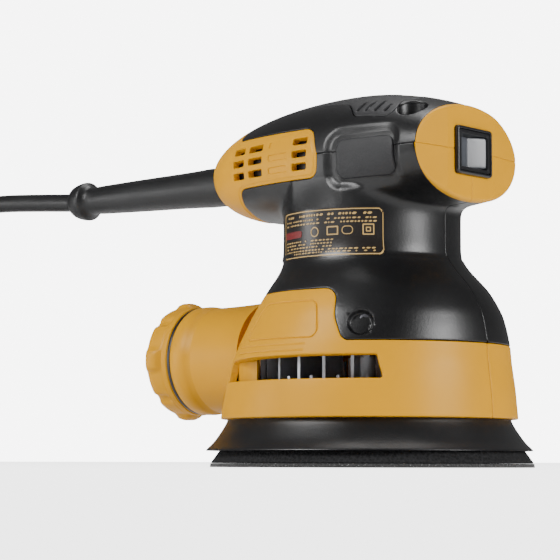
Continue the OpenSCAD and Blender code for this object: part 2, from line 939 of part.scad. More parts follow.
// ---- cord ----
clamp_x = -head_rear + 22;
module cord_clamp() {
    color(dark)
        difference() {
            translate([clamp_x, -9, relief_z - 9]) cube([7, 18, 18]);
            translate([clamp_x - 1, 0, relief_z]) rotate([0, 90, 0]) cylinder(r = cord_d / 2 + 0.05, h = 10);
        }
}
module strain_relief() {
    color(black)
        translate([0, 0, relief_z])
            rotate([0, -90, 0])
                rotate_extrude()
                    polygon([
                        [0, relief_in - 3], [relief_r + 2, relief_in - 3],
                        [relief_r + 2, relief_in - 0.5], [relief_r - 0.1, relief_in],
                        [relief_r - 0.1, head_rear + 5], [relief_r - 0.6, head_rear + 12],
                        [6.2, relief_end - 17], [5.9, relief_end - 13.4],
                        [6.3, relief_end - 11], [8.2, relief_end - 8], [8.3, relief_end - 5],
                        [7.4, relief_end - 1.5], [5.2, relief_end], [0, relief_end]
                    ]);
}
coil_r = coil_d / 2;
coil_x = -326;
coil_half_w = coil_columns * cord_d / 2;
coil_half_h = coil_layers * cord_d / 2;
coil_mid_z = tie_t + coil_half_h;
route = [
    [-161, 0, 115.2], [-168, 0, 115.7], [-176, 0, 116.3], [-190, 0, 117.3],
    [-203, 0, 118.1], [-215, 0, 118.3], [-225, -1, 117.2], [-234.5, -3.5, 114],
    [-244, -7.5, 108.2], [-252.5, -12, 98.5], [-261, -18, 81.7], [-269, -24, 64.4],
    [-277, -30, 47], [-285, -35.5, 30], [-293.5, -40.5, 18], [-303, -45, 10.8],
    [-312.5, -48, 7], [-326, -49.8, 5.1]
];
tail = [
    [-318, -49.4, 20.7], [-330, -49.8, 20.7], [-343, -49.8, 20.7], [-356.7, -50, 20],
    [-368, -48.2, 17.5], [-379, -42.5, 14], [-387.5, -33.5, 10.6], [-392.4, -23, 8.4],
    [-393.6, -16, 7.6], [-393.7, -13.2, 7.5], [-393.7, -13.05, 7.5]
];
sides = 10;
function unit(v) = v / norm(v);
function along(p, i) = unit(p[min(i + 1, len(p) - 1)] - p[max(i - 1, 0)]);
function across(d) = unit(cross(d, [0, 1, 0.02]));
module swept_tube(p, d) {
    n = len(p);
    points = [
        for (i = [0 : n - 1])
            let (t = along(p, i), u = across(t), v = cross(t, u))
            for (k = [0 : sides - 1])
                p[i] + d / 2 * (cos(360 * k / sides) * u + sin(360 * k / sides) * v)
    ];
    faces = concat(
        [[for (k = [sides - 1 : -1 : 0]) k]],
        [
            for (i = [0 : n - 2])
                for (k = [0 : sides - 1])
                    let (a = i * sides + k, b = i * sides + (k + 1) % sides)
                    [a, b, a + sides]
        ],
        [
            for (i = [0 : n - 2])
                for (k = [0 : sides - 1])
                    let (a = i * sides + k, b = i * sides + (k + 1) % sides)
                    [b, b + sides, a + sides]
        ],
        [[for (k = [0 : sides - 1]) (n - 1) * sides + k]]
    );
    polyhedron(points, faces, convexity = 6);
}
module power_cord() { color(black) swept_tube(route, cord_d); }
module cord_tail() { color(black) swept_tube(tail, cord_d); }
module cord_coil() {
    color(black)
        translate([coil_x, 0, coil_mid_z])
            rotate_extrude()
                translate([coil_r, 0])
                    polygon([
                        [-coil_half_w, -coil_half_h + 2], [-coil_half_w + 2, -coil_half_h],
                        [coil_half_w - 2, -coil_half_h], [coil_half_w, -coil_half_h + 2],
                        [coil_half_w, coil_half_h - 2], [coil_half_w - 2, coil_half_h],
                        [-coil_half_w + 2, coil_half_h], [-coil_half_w, coil_half_h - 2]
                    ]);
}
tie_angle = 45;
tie_sweep = 19;
module cord_tie() {
    color([0.1, 0.1, 0.11])
        translate([coil_x, 0, coil_mid_z])
            rotate([0, 0, tie_angle - tie_sweep / 2])
                rotate_extrude(angle = tie_sweep)
                    translate([coil_r, 0])
                        difference() {
                            square([2 * (coil_half_w + tie_t), 2 * (coil_half_h + tie_t)], center = true);
                            square([2 * coil_half_w + 0.1, 2 * coil_half_h + 0.1], center = true);
                        }
}
plug_x = -393.7;
plug_y = -13;
plug_z = 7.5;
plug_len = 30;
module plug_body() {
    color(black)
        translate([plug_x, plug_y, plug_z])
            rotate([-90, 0, 0]) {
                hull() {
                    cylinder(r = 5.2, h = 1, $fn = 32);
                    translate([0, 0, 14]) cylinder(r = 7, h = 1, $fn = 32);
                }
                hull()
                    for (x = [-6, 6])
                        translate([x, 0, 15]) cylinder(r = 7.4, h = plug_len - 1, $fn = 32);
            }
}
module plug_blades() {
    color([0.8, 0.72, 0.45])
        for (x = [-6.35, 6.35])
            translate([plug_x + x - 0.75, plug_y + 14 + plug_len + 0.1, plug_z - 3.1])
                cube([1.5, 17.3, 6.2]);
}

// ---- rotor ----
module rotor_shaft() {
    color(steel) {
        translate([0, 0, shaft_start_z])
            cylinder(r = shaft_d / 2 - 0.01, h = up_brg_z - 1 - shaft_start_z);
        translate([0, 0, up_brg_z - 1 - touch])
            cylinder(r = journal_r - 0.01, h = shaft_end_z - up_brg_z + 1);
    }
}
slots = 12;
slot_depth = 6.4;
module rotor_core() {
    color([0.4, 0.41, 0.43])
        translate([0, 0, core_z])
            difference() {
                cylinder(r = core_r, h = core_len);
                translate([0, 0, -1]) cylinder(r = shaft_d / 2, h = core_len + 2);
                for (i = [0 : slots - 1])
                    rotate([0, 0, 360 * i / slots])
                        translate([core_r - slot_depth, -1.5, -1]) cube([20, 3, core_len + 2]);
            }
}
module rotor_windings() {
    bar = slot_depth - 1.2;
    color(copper)
        translate([0, 0, core_z]) {
            for (e = [-6.2, core_len + 0.2])
                translate([0, 0, e])
                    difference() {
                        cylinder(r = core_r - 1, h = 6);
                        translate([0, 0, -1]) cylinder(r = shaft_d / 2 + 1.4, h = 8);
                    }
            for (i = [0 : slots - 1])
                rotate([0, 0, 360 * i / slots])
                    translate([core_r - slot_depth + 0.2, -1.3, -0.4])
                        cube([bar, 2.6, core_len + 0.8]);
        }
}
module commutator() {
    color(copper)
        translate([0, 0, comm_z])
            difference() {
                cylinder(r = comm_r, h = comm_len);
                translate([0, 0, -1]) cylinder(r = shaft_d / 2, h = comm_len + 2);
                for (i = [0 : 23])
                    rotate([0, 0, 15 * i])
                        translate([comm_r - 0.8, -0.25, 1]) cube([2, 0.5, comm_len]);
            }
}
fan_hub_r = shaft_d / 2 + 4;
fan_inner_r = 26;
module impeller() {
    color([0.80, 0.81, 0.83])
        difference() {
            union() {
                translate([0, 0, fan_z]) cylinder(r = fan_hub_r, h = fan_h);
                translate([0, 0, fan_z + 0.4]) cylinder(r = fan_r, h = fan_disc_t);
                for (i = [0 : fan_blades - 1])
                    rotate([0, 0, 360 * i / fan_blades - 1.4])
                        translate([fan_inner_r, -0.6, fan_z + 1])
                            cube([fan_r - fan_inner_r - 0.3, 1.2, fan_h - 1]);
                for (i = [0 : fan_blades - 1])
                    rotate([0, 0, 360 * (i + 0.5) / fan_blades - 1.4])
                        translate([fan_r - 6, -0.6, fan_z + 1])
                            cube([5.7, 1.2, 3.4]);
            }
            translate([0, 0, fan_z - 1]) cylinder(r = shaft_d / 2, h = fan_h + 2);
        }
}
pad_brg_r = pad_brg_d / 2;
module eccentric() {
    color([0.62, 0.63, 0.65])
        difference() {
            union() {
                translate([orbit_r, 0, pad_brg_z - 0.4])
                    cylinder(r = pad_brg_r + 2.6, h = cup_roof_z - pad_brg_z + 0.4 + cup_roof_t);
                translate([0, 0, ecc_hub_z - touch]) cylinder(r = shaft_d / 2 + 4, h = ecc_hub_h);
                intersection() {
                    difference() {
                        translate([0, 0, cup_roof_z]) cylinder(r = 38, h = cup_roof_t + 1.4);
                        cylinder(r = 10, h = far);
                    }
                    translate([-far, -24, 0]) cube([far - 4, 48, far]);
                }
            }
            translate([orbit_r, 0, pad_brg_z - 1]) cylinder(r = pad_brg_r + 0.02, h = pad_brg_w + 1);
            cylinder(r = shaft_d / 2, h = far);
        }
}
module pad_bearing_outer() {
    color(steel) translate([orbit_r, 0, pad_brg_z]) outer_race(spindle_r, pad_brg_r, pad_brg_w);
}
module pad_bearing_inner() {
    color(steel) translate([orbit_r, 0, pad_brg_z]) inner_race(spindle_r, pad_brg_r, pad_brg_w);
}
module pad_bearing_balls() {
    color(steel) translate([orbit_r, 0, pad_brg_z]) race_balls(spindle_r, pad_brg_r, pad_brg_w, 9);
}

// ---- pad ----
flange_r = 21;
pad_screw_pcd = 30;
pad_screw_r = 2;
// above its sanding face the pad keeps inside the skirt, however wide the face is
pad_upper_r = min(pad_r, shroud_r + 4.9);
module pad_screw_places() {
    for (i = [0 : 2])
        translate([orbit_r, 0, 0])
            rotate([0, 0, 60 + 120 * i])
                translate([pad_screw_pcd / 2, 0, 0]) children();
}
module dust_hole_cuts() {
    translate([orbit_r, 0, -1])
        for (i = [0 : dust_holes - 1])
            rotate([0, 0, 360 * (i + 0.5) / dust_holes])
                translate([dust_pcd / 2, 0, 0]) cylinder(d = dust_hole_d, h = 30);
}
module pad_spindle() {
    color(steel)
        difference() {
            union() {
                translate([orbit_r, 0, flange_z]) cylinder(r = flange_r, h = flange_t);
                translate([orbit_r, 0, flange_z])
                    cylinder(r = spindle_r + 1.4, h = flange_t + 0.55);
                translate([orbit_r, 0, flange_z])
                    cylinder(r = spindle_r - 0.01, h = pad_brg_z + pad_brg_w - flange_z - 0.6);
            }
            pad_screw_places() cylinder(r = pad_screw_r, h = 30);
        }
}
module pad_plate() {
    color(dark)
        difference() {
            translate([orbit_r, 0, plate_z]) cylinder(r = pad_upper_r - 8.5, h = plate_t);
            dust_hole_cuts();
            pad_screw_places() cylinder(r = pad_screw_r + 0.2, h = 30);
        }
}
module pad_foam() {
    color([0.13, 0.13, 0.14])
        difference() {
            translate([orbit_r, 0, foam_z])
                rotate_extrude()
                    polygon([
                        [0, 0], [pad_r - 0.5, 0], [pad_upper_r - 4.1, foam_t - 2.3],
                        [pad_upper_r - 5.4, foam_t], [0, foam_t]
                    ]);
            dust_hole_cuts();
            pad_screw_places() cylinder(r = 4.2, h = 30);
        }
}
module hook_face() {
    color([0.2, 0.2, 0.2])
        difference() {
            translate([orbit_r, 0, 0]) cylinder(r = pad_r, h = hook_t);
            dust_hole_cuts();
            pad_screw_places() cylinder(r = 4.2, h = 30, center = true);
        }
}
module pad_screws() {
    color(steel)
        pad_screw_places()
            translate([0, 0, plate_z - 0.02])
                rotate([180, 0, 0]) torx_screw(screw_head_r, pad_screw_r - 0.1, 2.4, plate_t + flange_t);
}

housing_right();
housing_left();
top_cover();
palm_grip();
badge();
side_grip_right();
side_grip_left();
nose_cap_upper();
nose_cap_right();
nose_cap_left();
rear_grille();
rating_label();
shroud_right();
shroud_left();
dust_port();
dust_skirt();
top_cover_screws();
housing_screws();
bearing_plate_screws();
stator_core();
stator_coils();
bearing_plate();
fan_baffle();
upper_bearing_seat();
upper_bearing_outer();
lower_bearing_outer();
brush_holders();
brushes();
brush_springs();
switch_body();
switch_bezel();
cord_clamp();
strain_relief();
power_cord();
cord_coil();
cord_tail();
cord_tie();
plug_body();
plug_blades();
rotor_shaft();
rotor_core();
commutator();
rotor_windings();
upper_bearing_inner();
upper_bearing_balls();
lower_bearing_inner();
lower_bearing_balls();
impeller();
eccentric();
pad_bearing_outer();
pad_bearing_inner();
pad_bearing_balls();
pad_spindle();
pad_plate();
pad_foam();
hook_face();
pad_screws();
switch_rocker();
dust_collar();
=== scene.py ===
# %% [markdown]
# # A palm-grip orbital sander
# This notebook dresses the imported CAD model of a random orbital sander. The CAD parts are the
# fixed frame: they carry the motion and the sizes. Each visible skin is a surface worked out
# from a formula, laid where its CAD part is, and given a finish from shader nodes.

# %% Load the frame
import bpy
import math
import numpy as np
from mathutils import Matrix, Vector


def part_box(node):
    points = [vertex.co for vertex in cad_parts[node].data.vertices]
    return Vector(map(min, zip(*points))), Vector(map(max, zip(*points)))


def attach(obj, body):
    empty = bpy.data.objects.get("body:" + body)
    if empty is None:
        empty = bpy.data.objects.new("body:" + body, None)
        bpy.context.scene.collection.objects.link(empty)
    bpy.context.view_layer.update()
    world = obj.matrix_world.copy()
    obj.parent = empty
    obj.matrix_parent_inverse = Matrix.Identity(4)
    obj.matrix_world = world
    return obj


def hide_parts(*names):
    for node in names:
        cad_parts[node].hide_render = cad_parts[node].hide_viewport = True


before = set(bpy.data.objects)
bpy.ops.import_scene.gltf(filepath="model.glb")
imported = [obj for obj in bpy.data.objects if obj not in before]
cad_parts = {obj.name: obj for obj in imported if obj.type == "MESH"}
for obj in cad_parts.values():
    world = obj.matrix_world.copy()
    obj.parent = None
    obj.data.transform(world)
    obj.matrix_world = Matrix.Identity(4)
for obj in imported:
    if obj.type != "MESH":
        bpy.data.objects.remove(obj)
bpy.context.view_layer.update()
MM = 0.001

# %% [markdown]
# ## Camera
# A product shot from well back, with the lens almost on the floor and turned up a little, so
# that the tool stands over the viewer. A long lens keeps the upright lines nearly parallel.

# %% Camera
CAMERA_PLACE = (0.4894, -0.6503, 0.002)
CAMERA_TURN = math.radians(39.40)
CAMERA_TILT = math.radians(4.96)
CAMERA_ROLL = math.radians(0.12)
camera = bpy.data.objects.new("camera", bpy.data.cameras.new("camera"))
bpy.context.scene.collection.objects.link(camera)
camera.data.sensor_width = 36
camera.data.lens = 134.8
camera.location = CAMERA_PLACE
camera.rotation_euler = (
    Matrix.Rotation(CAMERA_TURN, 3, "Z")
    @ Matrix.Rotation(math.pi / 2 + CAMERA_TILT, 3, "X")
    @ Matrix.Rotation(CAMERA_ROLL, 3, "Z")
).to_euler()
camera.data.clip_start = 0.01
bpy.context.scene.camera = camera
print("camera stands", round(math.hypot(*CAMERA_PLACE[:2]), 3), "m from the motor's axis")

# %% [markdown]
# ## Studio
# Four soft lamps stand for the softboxes of a product studio: a strong one high in front, one
# on the switch's side, one above, and a weak one low on the port's side. The world is a bright
# backdrop to the camera, and only a faint fill light to the object.


# %% Lamps and backdrop
def node(tree, kind, **values):
    """A shader node of that kind with its own settings and input values filled in."""
    made = tree.nodes.new(kind)
    for key, value in values.items():
        if key in made.inputs:
            made.inputs[key].default_value = value
        else:
            setattr(made, key, value)
    return made


def lamp(name, place, aim, size, power):
    """A square softbox of that size in metres, turned from its place towards the aim."""
    light = bpy.data.lights.new(name, "AREA")
    light.size, light.energy = size, power
    holder = bpy.data.objects.new(name, light)
    holder.location = place
    holder.rotation_euler = (Vector(aim) - Vector(place)).to_track_quat("-Z", "Y").to_euler()
    bpy.context.scene.collection.objects.link(holder)


SUBJECT = (0, 0, 0.08)
lamp("softbox_front", (-0.30, -1.0, 0.75), SUBJECT, 0.5, 17)
lamp("softbox_side", (1.1, 0.12, 0.42), SUBJECT, 0.45, 15)
lamp("softbox_top", (-0.1, 0.25, 1.2), SUBJECT, 0.6, 9)
lamp("softbox_low", (-0.9, -0.75, 0.18), SUBJECT, 0.35, 3)

world = bpy.data.worlds.new("studio")
bpy.context.scene.world = world
world.use_nodes = True
sky = world.node_tree
sky.nodes.clear()
sky_out = node(sky, "ShaderNodeOutputWorld")
sky_mix = node(sky, "ShaderNodeMixShader")
sky_path = node(sky, "ShaderNodeLightPath")
sky_glow = node(sky, "ShaderNodeBackground", Color=(1, 1, 1, 1), Strength=0.16)
sky_seen = node(sky, "ShaderNodeBackground", Color=(1, 1, 1, 1), Strength=7.0)
sky.links.new(sky_path.outputs["Is Camera Ray"], sky_mix.inputs[0])
sky.links.new(sky_glow.outputs[0], sky_mix.inputs[1])
sky.links.new(sky_seen.outputs[0], sky_mix.inputs[2])
sky.links.new(sky_mix.outputs[0], sky_out.inputs[0])
print("four lamps, and a backdrop", sky_seen.inputs["Strength"].default_value, "bright")

# %% [markdown]
# ## Finishes
# Moulded plastic is never quite even: it has a fine spark texture from the mould, slow changes
# of tone, and patches where handling has polished it. One recipe makes all the plastics, with
# colour, roughness and grain as its values. Patterns read Object coordinates, which stay put
# on the piece whichever way it is turned.


# %% Node helpers
def shader(name):
    """A new material, its node tree and its Principled shader."""
    material = bpy.data.materials.new(name)
    material.use_nodes = True
    tree = material.node_tree
    surface = next(n for n in tree.nodes if n.type == "BSDF_PRINCIPLED")
    return material, tree, surface


def ramp(tree, source, stops):
    """A colour ramp fed by a socket; stops are (position, colour)."""
    made = node(tree, "ShaderNodeValToRGB")
    bar = made.color_ramp
    while len(bar.elements) < len(stops):
        bar.elements.new(0.5)
    for element, (place, colour) in zip(bar.elements, stops):
        element.position, element.color = place, (*colour, 1)
    tree.links.new(source, made.inputs["Fac"])
    return made.outputs["Color"]


def object_place(tree):
    """The socket of Object coordinates, in metres."""
    return node(tree, "ShaderNodeTexCoord").outputs["Object"]


def noise(tree, scale, detail=3, stretch=(1, 1, 1)):
    """Noise on Object coordinates: scale is how many waves there are to a metre."""
    spot = object_place(tree)
    mapped = node(tree, "ShaderNodeMapping", Scale=stretch)
    tree.links.new(spot, mapped.inputs["Vector"])
    made = node(tree, "ShaderNodeTexNoise", Scale=scale, Detail=detail)
    tree.links.new(mapped.outputs["Vector"], made.inputs["Vector"])
    return made.outputs["Fac"]


def bumped(tree, surface, sources):
    """Chains bumps on the shader's normal; sources are (height socket, distance in metres)."""
    last = None
    for height, distance in sources:
        made = node(tree, "ShaderNodeBump", Strength=1.0, Distance=distance)
        tree.links.new(height, made.inputs["Height"])
        if last is not None:
            tree.links.new(last, made.inputs["Normal"])
        last = made.outputs["Normal"]
    tree.links.new(last, surface.inputs["Normal"])


def shade(colour, amount):
    """The same colour made lighter or darker by a factor."""
    return tuple(min(1, v * amount) for v in colour)


print("a node helper each for ramps, noise and bumps")


# %% The finish recipes
def toned(tree, surface, source, colour, spread, high):
    """Varies the base colour by a spread, from 0.3 to the high mark of the source."""
    stops = [(0.3, shade(colour, 1 - spread)), (high, shade(colour, 1 + spread))]
    tree.links.new(ramp(tree, source, stops), surface.inputs["Base Color"])


def glossed(tree, surface, source, smooth, dull):
    """Roughness that runs from smooth to dull with the source."""
    gloss = node(tree, "ShaderNodeMapRange")
    gloss.inputs["To Min"].default_value = smooth
    gloss.inputs["To Max"].default_value = dull
    tree.links.new(source, gloss.inputs["Value"])
    tree.links.new(gloss.outputs[0], surface.inputs["Roughness"])


def plastic(name, colour, rough, grain, spread=0.12, specular=0.5):
    """Moulded plastic: slow change of tone, handled patches in its gloss and a fine spark
    grain, whose depth is in millimetres."""
    material, tree, surface = shader(name)
    slow, fine, patch = noise(tree, 28, 2), noise(tree, 2600, 2), noise(tree, 70, 5)
    toned(tree, surface, slow, colour, spread, 0.7)
    glossed(tree, surface, patch, rough - 0.07, rough + 0.09)
    surface.inputs["Specular IOR Level"].default_value = specular
    bumped(tree, surface, [(fine, grain * MM), (noise(tree, 900, 3), grain * MM * 0.6)])
    return material


def metal(name, colour, rough, stretch=(1, 1, 1), scratch=900):
    """Bare metal: fine marks drawn out one way, and stains that dull it here and there."""
    material, tree, surface = shader(name)
    marks, stain = noise(tree, scratch, 6, stretch), noise(tree, 60, 4)
    toned(tree, surface, stain, colour, 0.15, 0.75)
    surface.inputs["Metallic"].default_value = 1.0
    glossed(tree, surface, marks, max(0.05, rough - 0.1), rough + 0.14)
    bumped(tree, surface, [(marks, 0.03 * MM)])
    return material


def banded(name, dark, light, pitch, direction, metallic, rough, depth):
    """Stacked or wound stuff: bands across one axis, such as sheets or wire, coloured dark in each
    groove and light on each crest, which is painted shade and painted highlight. The pitch
    from band to band and the depth of the grooves are in millimetres."""
    material, tree, surface = shader(name)
    bands = node(tree, "ShaderNodeTexWave", Scale=math.pi / 10 / (pitch * MM), Distortion=0.4)
    bands.bands_direction = direction
    tree.links.new(object_place(tree), bands.inputs["Vector"])
    wave, depth = bands.outputs["Fac"], depth * MM
    # The colour follows the grooves' height: painted shade in the grooves, painted highlight on
    # the crests.
    tree.links.new(ramp(tree, wave, [(0.2, dark), (0.8, light)]), surface.inputs["Base Color"])
    surface.inputs["Metallic"].default_value = metallic
    surface.inputs["Roughness"].default_value = rough
    bumped(tree, surface, [(wave, depth), (noise(tree, 700, 3), depth * 0.3)])
    return material


def cellular(name, cells_per_metre, stops, rough, depth, grain):
    """Open or tufted stuff: round cells coloured from middle to wall, pitted by a depth in
    millimetres or raised by a negative one, under a grain of (waves a metre, detail, depth)."""
    material, tree, surface = shader(name)
    cells = node(tree, "ShaderNodeTexVoronoi", Scale=cells_per_metre)
    tree.links.new(object_place(tree), cells.inputs["Vector"])
    middle = cells.outputs["Distance"]
    tree.links.new(ramp(tree, middle, stops), surface.inputs["Base Color"])
    surface.inputs["Roughness"].default_value = rough
    waves, detail, fine = grain
    bumped(tree, surface, [(middle, depth * MM), (noise(tree, waves, detail), fine * MM)])
    return material, surface


# %% The finishes of this tool
# Plastics: colour, roughness, grain in mm, change of tone and, where it isn't 0.5, reflection.
PLASTICS = {
    "shell_yellow": ((0.54, 0.25, 0.0), 0.4, 0.03, 0.05, 0.18),
    "shell_black": ((0.0035, 0.0035, 0.0039), 0.33, 0.04, 0.2, 0.42),
    "grip_rubber": ((0.009, 0.009, 0.010), 0.5, 0.10, 0.15, 0.35),
    "skirt_rubber": ((0.004, 0.004, 0.0045), 0.32, 0.06, 0.2),
    "cord_rubber": ((0.004, 0.004, 0.0045), 0.38, 0.08, 0.2, 0.4),
    "inner_plastic": ((0.008, 0.008, 0.009), 0.5, 0.06, 0.2),
    "switch_black": ((0.006, 0.006, 0.007), 0.3, 0.03, 0.15),
    "switch_grey": ((0.05, 0.054, 0.062), 0.3, 0.03, 0.1),
    "badge_olive": ((0.22, 0.17, 0.02), 0.3, 0.03, 0.2),
    "label_black": ((0.008, 0.006, 0.005), 0.3, 0.01, 0.1),
    "label_gold": ((0.40, 0.26, 0.09), 0.42, 0.01, 0.1),
    "label_red": ((0.13, 0.008, 0.008), 0.45, 0.01, 0.1),
    "pad_black": ((0.02, 0.02, 0.021), 0.5, 0.06, 0.2),
}
# Metals: colour, roughness and, where they differ, the marks' stretch and waves a metre.
METALS = {
    "steel": ((0.58, 0.59, 0.61), 0.28),
    "bearing_steel": ((0.66, 0.67, 0.69), 0.16),
    "cast_alloy": ((0.50, 0.51, 0.53), 0.5, (1, 1, 1), 350),
    "fan_alloy": ((0.50, 0.51, 0.54), 0.40, (1, 1, 0.15), 500),
    "brass": ((0.78, 0.56, 0.22), 0.24),
    "bar_copper": ((0.72, 0.36, 0.18), 0.3, (1, 1, 0.1)),
    "carbon": ((0.09, 0.09, 0.10), 0.5, (1, 1, 1), 1500),
}
# Bands: dark colour (painted shade in the grooves) and light colour (painted highlight on the
# crests), pitch in mm, direction, metallic, roughness, depth in mm.
BANDS = {
    "tie_webbing": ((0.01, 0.01, 0.011), (0.03, 0.03, 0.032), 1.2, "DIAGONAL", 0.0, 0.7, 0.2),
    "sheet_steel": ((0.20, 0.21, 0.23), (0.42, 0.43, 0.46), 1.0, "Z", 0.9, 0.4, 0.2),
    "wound_copper": ((0.35, 0.11, 0.03), (0.75, 0.33, 0.12), 0.8, "DIAGONAL", 0.75, 0.35, 0.3),
}
finishes = {
    name: recipe(name, *values)
    for recipe, table in ((plastic, PLASTICS), (metal, METALS), (banded, BANDS))
    for name, values in table.items()
}
# Open foam: cells dark in their middles, which is painted shade in the pits.
# Hook tape: hooks that catch the light as pale specks, which are painted highlights on the hook
# tips.
finishes["pad_foam"], foam_surface = cellular(
    "pad_foam", 900, [(0.1, (0.003, 0.003, 0.003)), (0.7, (0.012, 0.012, 0.013))],
    0.85, 0.4, (300, 4, 0.3))
foam_surface.inputs["Specular IOR Level"].default_value = 0.25
# The pale middles of the hook cells are a painted highlight on the raised hooks.
finishes["hook_layer"], hook_surface = cellular(
    "hook_layer", 1100, [(0.0, (0.30, 0.30, 0.29)), (0.16, (0.10, 0.10, 0.10)),
                         (0.24, (0.014, 0.014, 0.014)), (1.0, (0.007, 0.007, 0.007))],
    0.75, -0.4, (1500, 3, 0.2))
hook_surface.inputs["Sheen Weight"].default_value = 0.2
print(len(finishes), "finishes")

# %% [markdown]
# ## Sheets, cuts and walls
# A moulded skin is thought of as a thin sheet. It starts as a regular grid on a formula's
# surface. Outlines, slots and seams are distances measured on that sheet: wherever a distance
# passes a given value the triangles are split there, which gives a clean edge that the grid
# does not have. Near an edge the sheet is rolled inwards along a quarter circle, as a moulded
# edge is, and then it is given its wall. All lengths are in millimetres until the mesh is made.


# %% Grid and sheet
def lattice(rows, columns, wrap_rows=False, wrap_columns=False):
    """Two triangles for each cell of a grid; a wrapped direction joins its end to its start."""
    i, j = np.meshgrid(
        np.arange(rows - (not wrap_rows)), np.arange(columns - (not wrap_columns)), indexing="ij"
    )
    up, along = (i + 1) % rows, (j + 1) % columns
    a, b, c, d = i * columns + j, up * columns + j, up * columns + along, i * columns + along
    return np.concatenate(
        [np.stack([a, b, c], -1).reshape(-1, 3), np.stack([a, c, d], -1).reshape(-1, 3)]
    )


def weld(place, tris):
    """Points closer than a micrometre become one, and triangles that lose a side go."""
    _, first, where = np.unique(
        np.round(place / 1e-3).astype(np.int64), axis=0, return_index=True, return_inverse=True
    )
    tris = where.reshape(-1)[tris]
    whole = (
        (tris[:, 0] != tris[:, 1]) & (tris[:, 1] != tris[:, 2]) & (tris[:, 2] != tris[:, 0])
    )
    return place[first], tris[whole]


def outward(place, tris):
    """The direction out of the sheet at each point: the sum of its triangles' normals."""
    a, b, c = (place[tris[:, k]] for k in range(3))
    face = np.cross(b - a, c - a)
    total = np.zeros_like(place)
    for k in range(3):
        np.add.at(total, tris[:, k], face)
    return total / np.maximum(np.linalg.norm(total, axis=1, keepdims=True), 1e-12)


def sheet(places, wrap_rows=False, wrap_columns=False, flip=False):
    """A sheet from a grid of places: (data, triangles). Data is place, outward, sunken depth."""
    rows, columns = places.shape[:2]
    tris = lattice(rows, columns, wrap_rows, wrap_columns)
    if flip:
        tris = tris[:, ::-1]
    place, tris = weld(places.reshape(-1, 3), tris)
    return np.hstack([place, outward(place, tris), np.zeros((len(place), 1))]), tris


patch_x, patch_y = np.meshgrid(np.arange(3.0), np.arange(3.0), indexing="ij")
patch = sheet(np.stack([patch_x, patch_y, 0 * patch_x], -1))
print("a patch of 3 by 3 points has", len(patch[1]), "triangles")


# %% Cuts and sunken places
def split(skin, distance, level):
    """Splits the triangles that pass through a level of a distance. Returns the skin, and the
    distance less the level at each point, which is nought at every new point."""
    data, tris = skin
    value = distance(data[:, :3]) - level
    high = (value > 0)[tris]
    count = high.sum(1)
    plain, crossed = tris[(count == 0) | (count == 3)], tris[(count == 1) | (count == 2)]
    if not len(crossed):
        return (data, tris), value
    high = (value > 0)[crossed]
    lone = np.where(high.sum(1) == 1, high.argmax(1), (~high).argmax(1))
    row = np.arange(len(crossed))
    a, b, c = (crossed[row, (lone + k) % 3] for k in range(3))
    pairs = np.sort(np.concatenate([np.stack([a, b], 1), np.stack([a, c], 1)]), 1)
    edges, which = np.unique(pairs, axis=0, return_inverse=True)
    which = which.reshape(-1)
    part = value[edges[:, 0]] / (value[edges[:, 0]] - value[edges[:, 1]])
    fresh = data[edges[:, 0]] * (1 - part[:, None]) + data[edges[:, 1]] * part[:, None]
    p, q = len(data) + which[: len(a)], len(data) + which[len(a):]
    tris = np.concatenate(
        [plain, np.stack([a, p, q], 1), np.stack([p, b, c], 1), np.stack([p, c, q], 1)]
    )
    data, value = np.vstack([data, fresh]), np.concatenate([value, np.zeros(len(fresh))])
    return (data, tris), value


def kept(skin, value):
    """The part of a split skin where the value is above nought, with unused points dropped."""
    data, tris = skin
    tris = tris[value[tris].mean(1) > 0]
    used, where = np.unique(tris, return_inverse=True)
    return data[used], where.reshape(-1, 3)


def trimmed(skin, distance, round_by=0.4):
    """Keeps where the distance is above nought, and rolls the edge in by a quarter circle."""
    for share in (1.0, 0.55, 0.25, 0.08):
        skin, _ = split(skin, distance, round_by * share)
    data, tris = kept(*split(skin, distance, 0.0))
    near = np.clip(distance(data[:, :3]), 0, round_by)
    data[:, 6] += round_by - np.sqrt(round_by ** 2 - (round_by - near) ** 2)
    return data, tris


def sunk(skin, distance, depth, start, end, steps=5):
    """Sinks the sheet by a depth where the distance is below start, easing to nought at end."""
    for level in np.linspace(start, end, steps):
        skin, _ = split(skin, distance, level)
    data, tris = skin
    part = np.clip((distance(data[:, :3]) - start) / (end - start), 0, 1)
    data[:, 6] += depth * (1 - part * part * (3 - 2 * part))
    return data, tris


print("cut across, its half has", len(kept(*split(patch, lambda p: p[:, 0], 0.5))[1]), "triangles")


# %% Walls and pieces
def walled(skin, wall):
    """Gives a sheet its wall: an inner copy, and a rim along each free edge."""
    data, tris = skin
    place, out, depth = data[:, :3], data[:, 3:6], data[:, 6:7]
    out = out / np.linalg.norm(out, axis=1, keepdims=True)
    outer, inner = place - out * depth, place - out * np.maximum(depth + 0.3, wall)
    edges = np.concatenate([tris[:, [0, 1]], tris[:, [1, 2]], tris[:, [2, 0]]])
    key = np.sort(edges, 1)
    _, where, count = np.unique(key, axis=0, return_inverse=True, return_counts=True)
    free = edges[count[where.reshape(-1)] == 1]
    n = len(outer)
    rim = np.concatenate([
        np.stack([free[:, 1], free[:, 0], free[:, 0] + n], 1),
        np.stack([free[:, 1], free[:, 0] + n, free[:, 1] + n], 1),
    ])
    return np.vstack([outer, inner]), np.concatenate([tris, tris[:, ::-1] + n, rim])


def joined(*solids):
    """Several (places, triangles) as one."""
    places, tris, start = [], [], 0
    for place, tri in solids:
        places.append(place)
        tris.append(tri + start)
        start += len(place)
    return np.vstack(places), np.vstack(tris)


def faced(place, tris):
    """Turns a closed shell's triangles outwards, which its signed volume tells."""
    a, b, c = (place[tris[:, k]] for k in range(3))
    volume = np.einsum("ij,ij->i", a, np.cross(b, c)).sum()
    return place, tris if volume > 0 else tris[:, ::-1]


